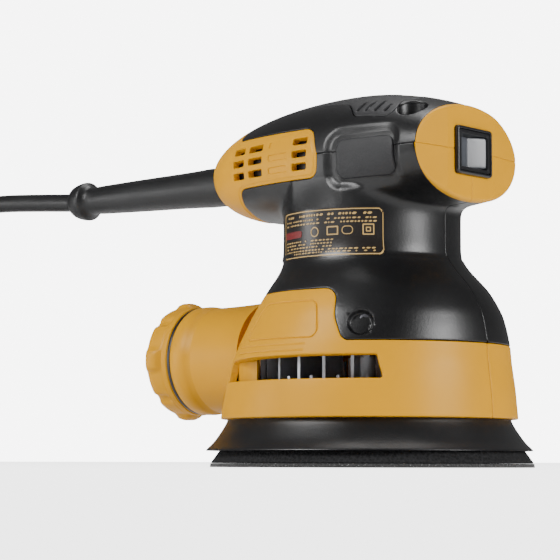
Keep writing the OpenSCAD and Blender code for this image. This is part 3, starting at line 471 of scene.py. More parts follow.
def closed(places, wrap_rows=False):
    """A closed shell from a grid of places: each row is a ring. The rows join up too where
    they are wrapped, and otherwise the first and last ring shrink to a point."""
    rows, columns = places.shape[:2]
    return faced(*weld(places.reshape(-1, 3), lattice(rows, columns, wrap_rows, True)))


def full_turn(count):
    """That many angles round a full turn, as one row."""
    return np.linspace(0, 2 * np.pi, count, endpoint=False)[None, :]


CREASE = math.radians(38)
print("given its wall, the patch has", len(walled(patch, 1.0)[1]), "triangles")


def piece(name, solid, finish, stands_for=None, body="housing"):
    """Makes the mesh object, in metres, hides the CAD part it stands for and hangs it on the body
    it rides on.
    """
    place, tris = solid
    mesh = bpy.data.meshes.new(name)
    mesh.from_pydata((place * MM).tolist(), [], tris.tolist())
    mesh.validate()
    mesh.materials.append(finishes[finish])
    mesh.shade_smooth()
    mesh.set_sharp_from_angle(angle=CREASE)
    made = bpy.data.objects.new(name, mesh)
    bpy.context.scene.collection.objects.link(made)
    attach(made, body)
    if stands_for:
        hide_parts(stands_for)
    print(f"{name}: {len(mesh.polygons)} faces")
    return made


# %% [markdown]
# ## Outlines
# Slots, pockets and joint lines are drawn flat, as rounded boxes or polygons with rounded
# corners, and measured as a distance that is below nought inside the outline.


# %% Flat outlines
def box_distance(u, v, centre, size, radius):
    """Distance to a rounded box, below nought inside."""
    du = np.abs(u - centre[0]) - (size[0] / 2 - radius)
    dv = np.abs(v - centre[1]) - (size[1] / 2 - radius)
    return np.hypot(np.maximum(du, 0), np.maximum(dv, 0)) + np.minimum(
        np.maximum(du, dv), 0) - radius


def filleted(corners, arc=6):
    """A closed polygon with its corners rounded; each corner is (u, v, radius)."""
    corners = np.array(corners, float)
    made = []
    for k in range(len(corners)):
        before, here, after = corners[k - 1], corners[k], corners[(k + 1) % len(corners)]
        inward, onward = before[:2] - here[:2], after[:2] - here[:2]
        inward, onward = inward / np.linalg.norm(inward), onward / np.linalg.norm(onward)
        half = math.acos(np.clip(inward @ onward, -1, 1)) / 2
        if here[2] <= 0 or half > 1.5:
            made.append(here[:2])
            continue
        reach = here[2] / math.tan(half)
        middle = here[:2] + (inward + onward) / np.linalg.norm(inward + onward) * (
            here[2] / math.sin(half))
        start, end = here[:2] + inward * reach - middle, here[:2] + onward * reach - middle
        swing = math.atan2(start[0] * end[1] - start[1] * end[0], start @ end)
        turn = swing * np.linspace(0, 1, arc)
        made.extend(middle + np.stack([start[0] * np.cos(turn) - start[1] * np.sin(turn),
                                       start[0] * np.sin(turn) + start[1] * np.cos(turn)], 1))
    return np.array(made)


def polygon_distance(u, v, polygon):
    """Distance to the polygon's outline, below nought inside it: the least distance to any
    side, signed by whether a level line to the right crosses the outline an odd number of
    times."""
    best, odd = np.full(u.shape, 1e18), np.zeros(u.shape, bool)
    for (u0, v0), (u1, v1) in zip(polygon, np.roll(polygon, -1, 0)):
        du, dv = u1 - u0, v1 - v0
        t = np.clip(((u - u0) * du + (v - v0) * dv) / (du * du + dv * dv + 1e-12), 0, 1)
        best = np.minimum(best, (u - u0 - t * du) ** 2 + (v - v0 - t * dv) ** 2)
        if v0 != v1:
            odd ^= ((v0 > v) != (v1 > v)) & (u < u0 + du * (v - v0) / dv)
    return np.where(odd, -1, 1) * np.sqrt(best)


# %% Turned profiles
def revolved(profile, axis, centre, steps):
    """A closed profile of (radius, height) turned about +Z or -X through the centre."""
    profile = np.array(profile, float)
    turn = np.radians(np.linspace(0, 360, steps, endpoint=False))[:, None]
    r, h = profile[None, :, 0], profile[None, :, 1]
    a, b = r * np.cos(turn), r * np.sin(turn)
    h = np.broadcast_to(h, a.shape)
    stack = {"Z": (a, b, h), "-X": (-h, a, -b)}[axis]
    return closed(np.stack(stack, -1) + np.array(centre, float), True)


def eased(profile, passes=2):
    """Rounds a polyline's corners by Chaikin's cutting: each side gives its quarter points."""
    profile = np.array(profile, float)
    for _ in range(passes):
        after = np.roll(profile, -1, 0)
        profile = np.stack([profile * 0.75 + after * 0.25, profile * 0.25 + after * 0.75], 1
                           ).reshape(-1, profile.shape[1])
    return profile

# %% [markdown]
# ## The supply cord
# The cord is one smooth line with its real length: out of its sleeve, down to the floor, round
# in a neat coil of eight turns, and out to its plug. Turns lie beside and on each other, one
# cord's width apart, so every part of the line rests on something.

# %% Cord
CORD_R = 3.9
COIL_X, COIL_R, COIL_STEP, COIL_LOW = -326.0, 42, 2 * CORD_R, 5.1
LEAD = [
    (-161, 0, 115.2), (-168, 0, 115.7), (-176, 0, 116.3), (-190, 0, 117.3), (-203, 0, 118.1),
    (-215, 0, 118.3), (-225, -1, 117.2), (-234.5, -3.5, 114), (-244, -7.5, 108.2),
    (-252.5, -12, 98.5), (-261, -18, 81.7), (-269, -24, 64.4), (-277, -30, 47),
    (-285, -35.5, 30), (-293.5, -40.5, 18), (-303, -45, 10.8), (-312.5, -48, 7),
]
TAIL = [
    (-330, -49.8, 20.7), (-343, -49.8, 20.7), (-356.7, -50, 20.0), (-368, -48.2, 17.5),
    (-379, -42.5, 14), (-387.5, -33.5, 10.6), (-392.4, -23, 8.4), (-393.6, -16, 7.6),
    (-393.7, -12, 7.5),
]
INNER, OUTER = COIL_R - COIL_STEP, COIL_R + COIL_STEP
TURNS = [(OUTER, 0), (COIL_R, 0), (INNER, 0), (INNER, 1), (COIL_R, 1), (OUTER, 1),
         (COIL_R, 2), (OUTER, 2)]  # each turn's radius and layer


def coil_line(steps=26):
    """Eight clockwise turns about the coil's axis: each keeps its own radius and layer, and in
    its first sixth eases over from the turn before."""
    turn = np.arange(1, steps * len(TURNS)) / steps
    now = np.array(TURNS, float)[turn.astype(int)]
    last = np.array([TURNS[0]] + TURNS[:-1], float)[turn.astype(int)]
    ease = np.clip((turn % 1) / 0.17, 0, 1)[:, None]
    ease = ease * ease * (3 - 2 * ease)
    radius, layer = (last * (1 - ease) + now * ease).T
    angle = -math.pi / 2 - 2 * math.pi * turn
    return np.stack([COIL_X + radius * np.cos(angle), radius * np.sin(angle),
                     COIL_LOW + layer * COIL_STEP], 1)


def through(points, steps=6):
    """A smooth line through the points: on each stretch, a cubic whose end slopes are the
    chords of the neighbouring points."""
    points = np.array(points, float)
    p = np.vstack([2 * points[0] - points[1], points, 2 * points[-1] - points[-2]])
    t = (np.arange(steps) / steps)[None, :, None]
    a, b, c, d = (p[k: len(p) - 3 + k, None, :] for k in range(4))
    line = b + 0.5 * t * (c - a + t * (2 * a - 5 * b + 4 * c - d + t * (3 * (b - c) + d - a)))
    return np.vstack([line.reshape(-1, 3), points[-1:]])


def spaced(line, step):
    """The same line with points at equal steps along it."""
    along = np.concatenate([[0], np.cumsum(np.linalg.norm(np.diff(line, axis=0), axis=1))])
    places = np.linspace(0, along[-1], int(along[-1] / step) + 1)
    return np.stack([np.interp(places, along, line[:, k]) for k in range(3)], 1), along[-1]


cord_line, cord_length = spaced(through(np.vstack([LEAD, coil_line(), TAIL])), 5.0)
cord_curve = bpy.data.curves.new("supply_cord", "CURVE")
cord_curve.dimensions = "3D"
cord_spline = cord_curve.splines.new("POLY")
cord_spline.points.add(len(cord_line) - 1)
cord_spline.points.foreach_set(
    "co", np.hstack([cord_line * MM, np.ones((len(cord_line), 1))]).ravel())
cord_curve.bevel_depth = CORD_R * MM
cord_curve.bevel_resolution = 4
cord_curve.use_fill_caps = True
cord_curve.materials.append(finishes["cord_rubber"])
supply_cord = bpy.data.objects.new("supply_cord", cord_curve)
bpy.context.scene.collection.objects.link(supply_cord)
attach(supply_cord, "housing")
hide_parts("power_cord", "cord_coil", "cord_tail")
print("cord length", round(cord_length), "mm in", len(cord_line), "points")

# %% [markdown]
# ## Tie and plug
# A strap holds the coil: a rounded box section swept through a short arc of the coil. The plug
# is a soft moulding that starts round at the cord and grows into an oval body, so it is a row
# of oval sections along its length, with ring grooves round its neck.

# %% Tie
TIE_ARC = np.radians(np.linspace(35.5, 54.5, 14))
TIE_HALF, TIE_THICK = 12.9, 1.1


def square(half):
    """The corners of a square about nought."""
    return [(-half, -half), (half, -half), (half, half), (-half, half)]


tie_box = eased(square(TIE_HALF), 3) * (1, 0.985)
tie_hole = eased(square(TIE_HALF - TIE_THICK), 3)


def strap_rings(section):
    """The section's points carried round the coil's axis through the arc of the strap."""
    r, h = COIL_R + section[None, :, 0], TIE_HALF + section[None, :, 1]
    turn = TIE_ARC[:, None]
    return np.stack([COIL_X + r * np.cos(turn), r * np.sin(turn), h + 0 * turn], -1)


strap_outer, strap_inner = strap_rings(tie_box), strap_rings(tie_hole)
strap = np.concatenate([strap_outer, strap_inner[::-1]])
cord_tie = piece("cord_tie_strap", closed(strap, True), "tie_webbing",
                 "cord_tie")

# %% Plug
PLUG_X, PLUG_Y, PLUG_Z, PLUG_LONG = -393.7, -13.0, 7.5, 44
BLADE_APART, BLADE_HALF = 12.7, 0.75


def plug_body():
    """Oval sections along +Y: half-width and half-height grow from the cord's sleeve to the
    body, three grooves ring the sleeve, and both ends round off."""
    along = np.array([0, 0, .4, 1.2, 2.4, 2.9, 3.6, 4.1, 5.2, 5.7, 6.4, 6.9, 8, 8.5, 9.2, 9.7,
                      11.5, 13.5, 15.5, 18, 24, 30, 36, 40, 42.2, 43.3, 43.8, 44, 44, 44])
    wide = np.array([0, 4.6, 5, 5.2, 5.4, 5.3, 4.8, 5.5, 5.9, 5.8, 5.3, 6, 6.5, 6.4, 5.9, 6.7,
                     8.3, 10.2, 11.7, 12.7, 13.2, 13.3, 13.1, 12.9, 12.7, 12.3, 11.7, 11.2, 6, 0])
    high = np.array([0, 4.6, 5, 5.2, 5.4, 5.3, 4.8, 5.5, 5.7, 5.6, 5.1, 5.8, 6.1, 6, 5.5, 6.2,
                     6.7, 7, 7.2, 7.3, 7.35, 7.35, 7.3, 7.2, 7, 6.6, 6, 5.6, 3, 0])
    turn, fullness = full_turn(40), 0.8
    x = wide[:, None] * np.sign(np.cos(turn)) * np.abs(np.cos(turn)) ** fullness
    z = high[:, None] * np.sign(np.sin(turn)) * np.abs(np.sin(turn)) ** fullness
    return closed(np.stack([PLUG_X + x, PLUG_Y + along[:, None] + 0 * x, PLUG_Z + z], -1))


def plug_blade(x):
    """A flat blade 6.2 mm high and 1.5 mm thick, with its end drawn in to a blunt edge."""
    along = np.array([0, 0, 14.6, 16.6, 17.3, 17.3])
    thick = np.array([0, 1, 1, .8, .4, 0]) * BLADE_HALF
    high = np.array([0, 3.1, 3.1, 2.7, 2.0, 0])
    section = eased(square(1))
    return closed(np.stack([
        PLUG_X + x + thick[:, None] * section[None, :, 0],
        PLUG_Y + PLUG_LONG + 0.1 + along[:, None] + 0 * section[None, :, 0],
        PLUG_Z + high[:, None] * section[None, :, 1]], -1))


cord_plug = piece("cord_plug", plug_body(), "cord_rubber", "plug_body")
cord_blades = piece("cord_plug_blades",
                    joined(plug_blade(-BLADE_APART / 2), plug_blade(BLADE_APART / 2)),
                    "brass", "plug_blades")

# %% [markdown]
# ## The head
# The head is one streamlined body. At each station along its length it has a half-width, a
# crown height and a keel height, and its cross-section is a superellipse through them. All
# the covers of the head are cut from this one formula, so they meet without steps.

# %% The head's formula
HEAD_Z, HEAD_REAR, HEAD_FRONT = 118.0, -76.0, 46.4
JOINT_Z, SEAM = 118.5, 0.07  # where the covers meet, and the width of the lines between them
FAR = 99
SIDES = ((-1, "right"), (1, "left"))


def half_width(x):
    """Half an ellipse behind the widest station, and a slight draw-in ahead of it."""
    behind = 34 * np.sqrt(np.clip(1 - ((20 - x) / 96) ** 2, 0, 1))
    return np.where(x < 20, behind, 34 - 0.7 * ((x - 20) / 26.4) ** 2)


def crown(x):
    """Height of the top above the mid-plane: an ellipse behind, a parabola ahead."""
    behind = 26.2 * np.sqrt(np.clip(1 - ((3 - x) / 79) ** 2, 0, 1))
    return np.where(x < 3, behind, 26.2 - 7.8 * ((x - 3) / 43.4) ** 2)


def keel(x):
    """Depth of the underside below the mid-plane: a blunt power curve behind, then straight."""
    behind = 22 * np.clip(1 - np.clip((-20 - x) / 56, 0, 1) ** 2.5, 0, 1) ** 0.45
    return np.where(x < -20, behind, 22 - 3.6 * ((x + 20) / 66.4) ** 2)


def squareness(x):
    """Exponent of the lower half-section: squarer above the neck, so the sides run into it."""
    return 2 + 1.1 * np.exp(-((x - 3) / 30) ** 2)


def head_grid(stations=210, around=270):
    """Sections from the rear pole to the front, crowded where the rear rounds off."""
    x = HEAD_REAR + (HEAD_FRONT - HEAD_REAR) * (
        1 - np.cos(np.pi / 2 * np.linspace(0, 1, stations)))[:, None]
    turn = full_turn(around)
    power = np.where(np.sin(turn) >= 0, 1.0, 2 / squareness(x))
    high = np.where(np.sin(turn) >= 0, crown(x), keel(x))
    y = half_width(x) * np.sign(np.cos(turn)) * np.abs(np.cos(turn)) ** power
    z = HEAD_Z + high * np.sign(np.sin(turn)) * np.abs(np.sin(turn)) ** power
    return np.stack([x + 0 * turn, y, z], -1)


head_skin = sheet(head_grid(), wrap_columns=True, flip=True)
probe = head_skin[0][np.argmax(head_skin[0][:, 2])]
print("head skin:", len(head_skin[1]), "triangles; at the crown it faces", probe[3:6].round(2))

# %% The head's outlines, in side view (x, z) and in top view (x, y)
REAR_OUTLINE = filleted([
    (-200, 40, 0), (-48.5, 40, 0), (-49.3, 104, 4), (-47, 109.4, 5), (-0.2, 109.4, 4),
    (0.2, 118, 8), (-3.6, 129.3, 6), (-50, 129.6, 1.5), (-50, 200, 0), (-200, 200, 0)])
GRIP_OUTLINE = filleted([
    (33.5, 13, 3), (29.8, 18, 3), (31.4, 24, 2), (31, 28.6, 2.5), (14.5, 28.4, 3),
    (8, 22.3, 5), (-8, 18.6, 10), (-46, 15.5, 6), (-46, -15.5, 6), (-8, -18.6, 10),
    (8, -22.3, 5), (14.5, -28.4, 3), (31, -28.6, 2.5), (31.4, -24, 2), (29.8, -18, 3),
    (33.5, -13, 3)])
BOSSES, WELL_R = [(37, -22), (37, 22)], 5.7


def above(p, height, distance):
    """A distance that counts only above a height. Below it, the outline is far away."""
    return np.where(p[:, 2] > height, distance, FAR)


def on_top(p, distance):
    """A distance that counts only on the top of the head."""
    return above(p, 121, distance)


print("outlines:", len(REAR_OUTLINE), "points round the rear piece and", len(GRIP_OUTLINE),
      "round the grip")


# %% Distances on the head
def from_rear(p):
    """Distance outside the yellow rear piece's outline, seen from the side."""
    return polygon_distance(p[:, 0], p[:, 2], REAR_OUTLINE)


def from_grip(p):
    """Distance outside the palm grip's outline, seen from above."""
    return on_top(p, polygon_distance(p[:, 0], p[:, 1], GRIP_OUTLINE))


def from_wells(p):
    """Distance outside the two screw wells, which run straight down."""
    nearest = np.min([np.hypot(p[:, 0] - x, p[:, 1] - y) for x, y in BOSSES], 0)
    return above(p, 119, nearest - WELL_R)


def from_pocket(p):
    """Distance outside the side pocket, seen from the side."""
    return box_distance(p[:, 0], p[:, 2], (21.4, 115.8), (33.6, 22.6), 6.5)


def from_panel(p):
    """Distance outside the soft panel in the pocket, seen from the side."""
    return box_distance(p[:, 0], p[:, 2], (22.6, 115.2), (26.8, 15.8), 4)


# %% [markdown]
# ## Black shell halves
# The lower shell is the hard shape here: the underside of the head flows into the neck, and
# the neck into the dome. It is drawn as meridians round the neck's axis. Each one starts at
# the head's widest line, follows the underside inwards, turns down the neck, and opens out
# over the dome. Averaging neighbouring points near the turn makes the moulded fillet.

# %% Lower shell
BODY_Z = [18.4, 30, 39.5, 46.3, 52, 57.8, 62, 66.4, 69.5, 72.5, 76, 79.2, 84, 97]
BODY_R = [57.5, 55.9, 54.1, 52.5, 50.6, 48.45, 46.2, 43.6, 41.4, 38.9, 36.4, 34.9, 34.5, 34.5]
BODY_SHIFT = [0, .7, 1.25, 2.5, 3.5, 4.2, 4.4, 4.4, 4.1, 3.6, 2.9, 2.2, 1.7, 1.6]
NECK_X, NECK_R = 1.6, 34.5
# Between these heights the neck is round. Above, it spreads to the head; below, tables give it.
NECK_LOW, NECK_HIGH = 80, 92
DRUM_TOP = 46.4
SMOOTHED, PASSES = slice(16, 50), 14  # the rows about the turn into the neck, and how often


# %% Lower shell's formulas
def eased_table(z, heights, values):
    """A table read between its entries, averaged over a few millimetres so it has no kinks."""
    return np.mean([np.interp(z + d, heights, values) for d in (-1.6, -.8, 0, .8, 1.6)], 0)


def body_radius(z):
    """Radius of the neck, dome and drum at a height."""
    return eased_table(z, BODY_Z, BODY_R)


def body_shift(z):
    """How far ahead of the motor's axis that circle's centre is."""
    return eased_table(z, BODY_Z, BODY_SHIFT)


def underside(x, y):
    """Height of the head's lower surface over a point, from its section's formula."""
    part = np.clip(np.abs(y) / half_width(x), 0, 1)
    power = squareness(x)
    return HEAD_Z - keel(x) * (1 - part ** power) ** (1 / power)


print("at the neck the radius is", round(float(body_radius(84.0)), 2), "mm")


# %% Lower shell's surface
def shell_grid(around=260):
    """Meridians round the neck: rows go from the joint line down to the shroud."""
    turn = np.linspace(-np.pi, np.pi, around, endpoint=False)
    cos, sin = np.cos(turn)[None, :], np.sin(turn)[None, :]
    low, high = np.zeros((1, around)), np.full((1, around), 80.0)
    for _ in range(40):  # halves the gap between a place inside the head and one outside it
        middle = (low + high) / 2
        x, y = NECK_X + middle * cos, middle * sin
        inside = (x < HEAD_FRONT) & (x > HEAD_REAR + 0.05) & (np.abs(y) < half_width(x))
        low, high = np.where(inside, middle, low), np.where(inside, high, middle)
    rim = low
    neck = np.minimum(NECK_R, rim - 0.8)
    ease = np.sin(np.linspace(np.pi / 2, 0, 26))[:, None]
    r = neck + (rim - neck) * ease
    z_head = underside(NECK_X + r * cos, r * sin)
    turn_z = z_head[-1:]
    z_neck = turn_z + (NECK_LOW - turn_z) * np.linspace(0, 1, 24)[1:, None]
    part = np.clip((z_neck - NECK_HIGH) / np.maximum(turn_z - NECK_HIGH, 1), 0, 1)
    r_neck = NECK_R + (neck - NECK_R) * part * part * (3 - 2 * part)
    z_dome = np.linspace(NECK_LOW, DRUM_TOP + 0.05, 34)[1:, None] + 0 * rim
    r_dome, shift = body_radius(z_dome), body_shift(z_dome)
    level = np.concatenate([z_head[:1] * 0 + JOINT_Z + 0.6, z_head, z_neck, z_dome])
    reach = np.concatenate([rim, r, r_neck, r_dome])
    move = np.concatenate([0 * rim + NECK_X, 0 * r + NECK_X, 0 * r_neck + NECK_X, shift])
    # Where the front cuts the head off below its widest line, the first row stays at the rim.
    level[0] = np.where(z_head[0] > 117, level[0], z_head[0])
    before, after = (slice(SMOOTHED.start + d, SMOOTHED.stop + d) for d in (-1, 1))
    for _ in range(PASSES):
        for values in (level, reach):
            values[SMOOTHED] = (values[before] + 2 * values[SMOOTHED] + values[after]) / 4
    return np.stack([move + reach * cos, reach * sin, level], -1)


shell_skin = sheet(shell_grid(), wrap_columns=True)
print("lower shell:", len(shell_skin[1]), "triangles")

# %% Shell halves
DOME_SCREWS = [(28.2, side * 42.4, 52.6) for side, _ in SIDES]
TOWER_OUTLINE = filleted([
    (-100, 20, 0), (40, 20, 0), (40, 45.9, 0), (24.0, 45.9, 5), (19.6, 55, 12), (17.2, 66.2, 6.5),
    (-100, 66.2, 0)])


def from_tower(p):
    """Distance outside the yellow tower, seen from the side."""
    return polygon_distance(p[:, 0], p[:, 2], TOWER_OUTLINE)


def from_dome_screws(p):
    """Distance from the two radial screws of the dome."""
    return np.min([np.linalg.norm(p - np.array(spot), axis=1) for spot in DOME_SCREWS], 0)


def pocketed(skin, distance):
    """The side pocket's bed, 1.25 mm deep with a soft slope round it."""
    return sunk(skin, distance, 1.25, -2.4, 1.2, 8)


def shell_half(side):
    """One lower half: cut by the seam, the joint line, the rear piece, the tower, the nose."""
    skin = pocketed(shell_skin, lambda p: above(p, 98, from_pocket(p)))
    skin = sunk(skin, lambda p: from_dome_screws(p) - 5.0, 2.2, -0.9, 0.3)

    def room(p):
        return np.minimum.reduce([
            side * p[:, 1] - SEAM / 2, JOINT_Z - 0.04 - p[:, 2], from_rear(p) - SEAM,
            from_tower(p) - SEAM, p[:, 2] - DRUM_TOP - 0.1,
            above(p, 90, HEAD_FRONT - 0.1 - p[:, 0])])

    return walled(trimmed(skin, room, 0.35), 2.6)


for side, name in SIDES:
    piece(f"shell_{name}", shell_half(side), "shell_black", f"housing_{name}")

# %% [markdown]
# ## Top cover and palm grip
# The black top cover has a sunken bed for the soft palm grip, two wells for its screws, and
# the upper parts of the side pockets. The grip is a thin skin in that bed. Its two wings
# carry four finger ribs each, pressed in as narrow grooves.

# %% Top cover
def screw_well(x, y):
    """The wall of a screw well, from just under the cover's surface down to the screw's seat:
    a turned cup whose rim is laid under the head's formula."""
    place, tris = revolved([
        (WELL_R, 140), (WELL_R, 128), (2.1, 128), (2.1, 125), (WELL_R + 1.3, 125),
        (WELL_R + 1.3, 140)], "Z", (x, y, 0), 48)
    part = np.clip(1 - (place[:, 1] / half_width(place[:, 0])) ** 2, 0, 1)
    top = HEAD_Z + crown(place[:, 0]) * np.sqrt(part) - 0.9
    place[:, 2] = np.where(place[:, 2] > 139, top, place[:, 2])
    return place, tris


def top_cover():
    """The cover, with the grip's bed and the pockets sunk, cut round the wells."""
    skin = sunk(head_skin, lambda p: np.minimum(from_grip(p) - 0.2, from_wells(p) + 3), 1.45,
                -0.12, 0.12, 4)
    skin = pocketed(skin, from_pocket)

    def room(p):
        return np.minimum.reduce([
            p[:, 2] - JOINT_Z - 0.04, from_rear(p) - SEAM, from_wells(p),
            HEAD_FRONT - 0.1 - p[:, 0]])

    return walled(trimmed(skin, room, 0.4), 2.6)


piece("top_cover_shell", joined(top_cover(), *(screw_well(x, y) for x, y in BOSSES)),
      "shell_black", "top_cover")


# %% Palm grip and badge
def from_ribs(p):
    """Distance from the ribs' grooves: four on each wing, leaning a little."""
    grooves = [polygon_distance(p[:, 0], np.abs(p[:, 1]), np.array(
        [(x - 0.55, 26.4), (x + 0.35, 26.4), (x + 0.75, top), (x - 0.15, top)]))
        for x, top in ((14.6, 21.2), (18.6, 20.2), (22.8, 19.6), (27.4, 22.0))]
    return np.min(grooves, 0)


def from_badge(p):
    """Distance outside the badge, seen from above."""
    return box_distance(p[:, 0], p[:, 1], (24, 0), (11, 17), 2.5)


def palm_grip():
    """The soft skin, with the ribs' grooves and the badge's bed pressed in."""
    skin = sunk(head_skin, lambda p: on_top(p, from_ribs(p)), 0.95, -0.3, 0.4, 4)
    skin = sunk(skin, lambda p: on_top(p, from_badge(p) - 0.15), 0.7, -0.1, 0.1)
    return walled(trimmed(skin, lambda p: -from_grip(p), 0.5), 1.3)


piece("palm_grip_skin", palm_grip(), "grip_rubber", "palm_grip")
badge_skin = trimmed(head_skin, lambda p: -on_top(p, from_badge(p)), 0.3)
badge_skin[0][:, 6] += 0.12
piece("grip_badge", walled(badge_skin, 0.6), "badge_olive", "badge")


# %% Side panels
def side_panel(side):
    """A soft panel in the pocket, standing 0.7 mm above its floor, with a rolled edge."""
    skin = trimmed(head_skin, lambda p: np.minimum(-from_panel(p), side * p[:, 1] - 5), 0.7)
    skin[0][:, 6] += 0.55
    return walled(skin, 1.5)


for side, name in SIDES:
    piece(f"side_panel_{name}", side_panel(side), "grip_rubber",
          f"side_grip_{name}")

# %% [markdown]
# ## Yellow rear piece
# Cooling air enters through the yellow rear piece. Three rows of slots run along its arms:
# three slots of each row go through, and the places between them are only marked. The slots
# are cut from the skin by distance to rounded boxes, which keeps their edges crisp.

# %% Rear piece
SLOTS, SLOT_HIGH = [(-46.3, 7.6), (-35.2, 8.6), (-9.3, 7.6)], 2.7  # middles and lengths
SLOT_ROWS = (124.4, 119.4, 114.4)
CORD_Z, SLEEVE_HOLE_R = 115.2, 8.35


def from_slots(p):
    """Distance outside the nearest slot, seen from the side."""
    boxes = [box_distance(p[:, 0], p[:, 2], (x, z), (length, SLOT_HIGH), 0.6)
             for x, length in SLOTS for z in SLOT_ROWS]
    return np.min(boxes, 0)


def from_marks(p):
    """Distance from the shallow blind marks between the slots."""
    boxes = [box_distance(p[:, 0], p[:, 2], (-21.1, z), (10.6, 2.6), 0.4) for z in SLOT_ROWS[1:]]
    boxes += [box_distance(p[:, 0], p[:, 2], (-26.2, z), (1.2, 2.0), 0.3) for z in SLOT_ROWS]
    return np.min(boxes, 0)


def rear_piece():
    """The rear cap and its two arms, a little proud within its outline, with slots and a hole
    for the cord's sleeve."""
    skin = sunk(head_skin, from_marks, 0.4, -0.25, 0.05, 3)
    skin = sunk(skin, lambda p: -(from_rear(p) + 1.3), 0.22, -0.2, 0.5, 4)

    def room(p):
        around_cord = np.hypot(p[:, 1], p[:, 2] - CORD_Z) - SLEEVE_HOLE_R
        return np.minimum.reduce([-from_rear(p), from_slots(p),
                                  np.where(p[:, 0] < -60, around_cord, FAR)])

    return walled(trimmed(skin, room, 0.45), 2.8)


piece("rear_vents", rear_piece(), "shell_yellow", "rear_grille")


# %% Air duct behind the slots
def air_duct():
    """A dark duct wall behind the slots: the head's surface again, 3.5 mm under it."""
    skin = trimmed(
        head_skin, lambda p: -box_distance(p[:, 0], p[:, 2], (-28, 115.5), (66, 27), 6), 0.3)
    skin[0][:, 6] += 3.5
    return walled(skin, 4.3)


piece("air_duct", air_duct(), "inner_plastic")

# %% [markdown]
# ## Yellow nose cap
# The nose is a shallow cap. Its middle band is flat, its sides fall away at a slight angle,
# and its rim rolls over. It splits where the covers split, so it is cut into three pieces
# from one surface, with an opening for the switch.

# %% Nose cap
NOSE_FACE, NOSE_BAND, NOSE_SLOPE = 48.6, 15.6, math.tan(math.radians(7.2))
NOSE_WIDE, NOSE_HIGH = float(half_width(HEAD_FRONT)), float(crown(HEAD_FRONT))
NOSE_ROLL = 1.7
SWITCH_Z = 118.4


def nose_height(y, z):
    """How far forward the cap is at a point: the band's plane, less the slope beyond the band,
    less an elliptical roll just before the rim, which is the head's own front outline."""
    power = np.where(z > HEAD_Z, 2.0, squareness(HEAD_FRONT))
    across, up = np.abs(y) / NOSE_WIDE, np.abs(z - HEAD_Z) / NOSE_HIGH
    share = np.maximum((across ** power + up ** power) ** (1 / power), 1e-6)
    reach = np.hypot(y, z - HEAD_Z) / share
    beyond, rim_beyond = np.abs(y) - NOSE_BAND, np.abs(y) / share - NOSE_BAND
    face = NOSE_FACE - NOSE_SLOPE * np.maximum(beyond, 0)
    rim_face = NOSE_FACE - NOSE_SLOPE * np.maximum(rim_beyond, 0)
    near = np.clip(1 - (1 - share) * reach / NOSE_ROLL, 0, 1)
    return face - (rim_face - HEAD_FRONT) * (1 - np.sqrt(1 - near ** 2))


def nose_surface(rings=46, around=150):
    """Rings from the middle to the rim, split beside the band's edges so that they stay crisp."""
    share = (1 - (1 - np.linspace(0, 1, rings)) ** 1.8)[:, None]
    turn = full_turn(around)
    power = np.where(np.sin(turn) >= 0, 1.0, 2 / squareness(HEAD_FRONT))
    y = share * NOSE_WIDE * np.sign(np.cos(turn)) * np.abs(np.cos(turn)) ** power
    z = HEAD_Z + share * NOSE_HIGH * np.sign(np.sin(turn)) * np.abs(np.sin(turn)) ** power
    skin = sheet(np.stack([nose_height(y, z), y, z], -1), wrap_columns=True)
    for level in (NOSE_BAND - 0.25, NOSE_BAND, NOSE_BAND + 0.25):
        skin, _ = split(skin, lambda p: np.abs(p[:, 1]), level)
    data, tris = skin
    data[:, 0] = nose_height(data[:, 1], data[:, 2])
    data[:, 3:6] = outward(data[:, :3], tris)
    return data, tris


nose_skin = nose_surface()


def nose_part(room):
    """One of the cap's parts, cut round the switch. Its inner wall is drawn in by a few percent,
    so that no edge of it shows beside the covers."""
    def whole(p):
        opening = box_distance(p[:, 1], p[:, 2], (0, SWITCH_Z), (22.7, 17.9), 1.4)
        return np.minimum(room(p), opening)

    data, tris = trimmed(nose_skin, whole, 0.22)
    place, solid = walled((data, tris), 1.4)
    draw = np.where(np.arange(len(place)) >= len(data), 0.97, 1)
    place[:, 1] *= draw
    place[:, 2] = HEAD_Z + (place[:, 2] - HEAD_Z) * draw
    return place, solid


NOSE_GAP = 0.03
piece("nose_upper", nose_part(lambda p: p[:, 2] - JOINT_Z - NOSE_GAP), "shell_yellow",
      "nose_cap_upper")
for side, name in SIDES:
    piece(f"nose_{name}", nose_part(
        lambda p: np.minimum(JOINT_Z - NOSE_GAP - p[:, 2], side * p[:, 1] - NOSE_GAP)),
        "shell_yellow", f"nose_cap_{name}")

# %% [markdown]
# ## Switch
# The switch is a black bezel with a rounded rim, a grey frame set into it, and a rocker that
# turns about an upright pin. The bezel and the frame are one profile each, carried round a
# rounded rectangle. The rocker's face is a shallow trough, and one half of it is pressed in.


# %% Bezel and frame
def rounded_loop(width, height, radius, count=10):
    """A rounded rectangle as points, each corner with the same number of them."""
    turn = np.radians(np.linspace(0, 90, count))
    arc = np.stack([np.cos(turn), np.sin(turn)], 1) * radius
    middle = np.array([width / 2 - radius, height / 2 - radius])
    quarter = arc + middle
    points = [quarter, quarter[::-1] * (-1, 1), -quarter, quarter[::-1] * (1, -1)]
    return np.concatenate(points)


def framed(profile, width, height, radius):
    """A closed profile of (inset, x) carried round a rounded rectangle facing along +X."""
    rings = []
    for inset, x in profile:
        loop = rounded_loop(width - 2 * inset, height - 2 * inset, max(0.25, radius - inset))
        rings.append(np.stack([np.full(len(loop), x), loop[:, 0], SWITCH_Z + loop[:, 1]], 1))
    return closed(np.stack(rings), True)


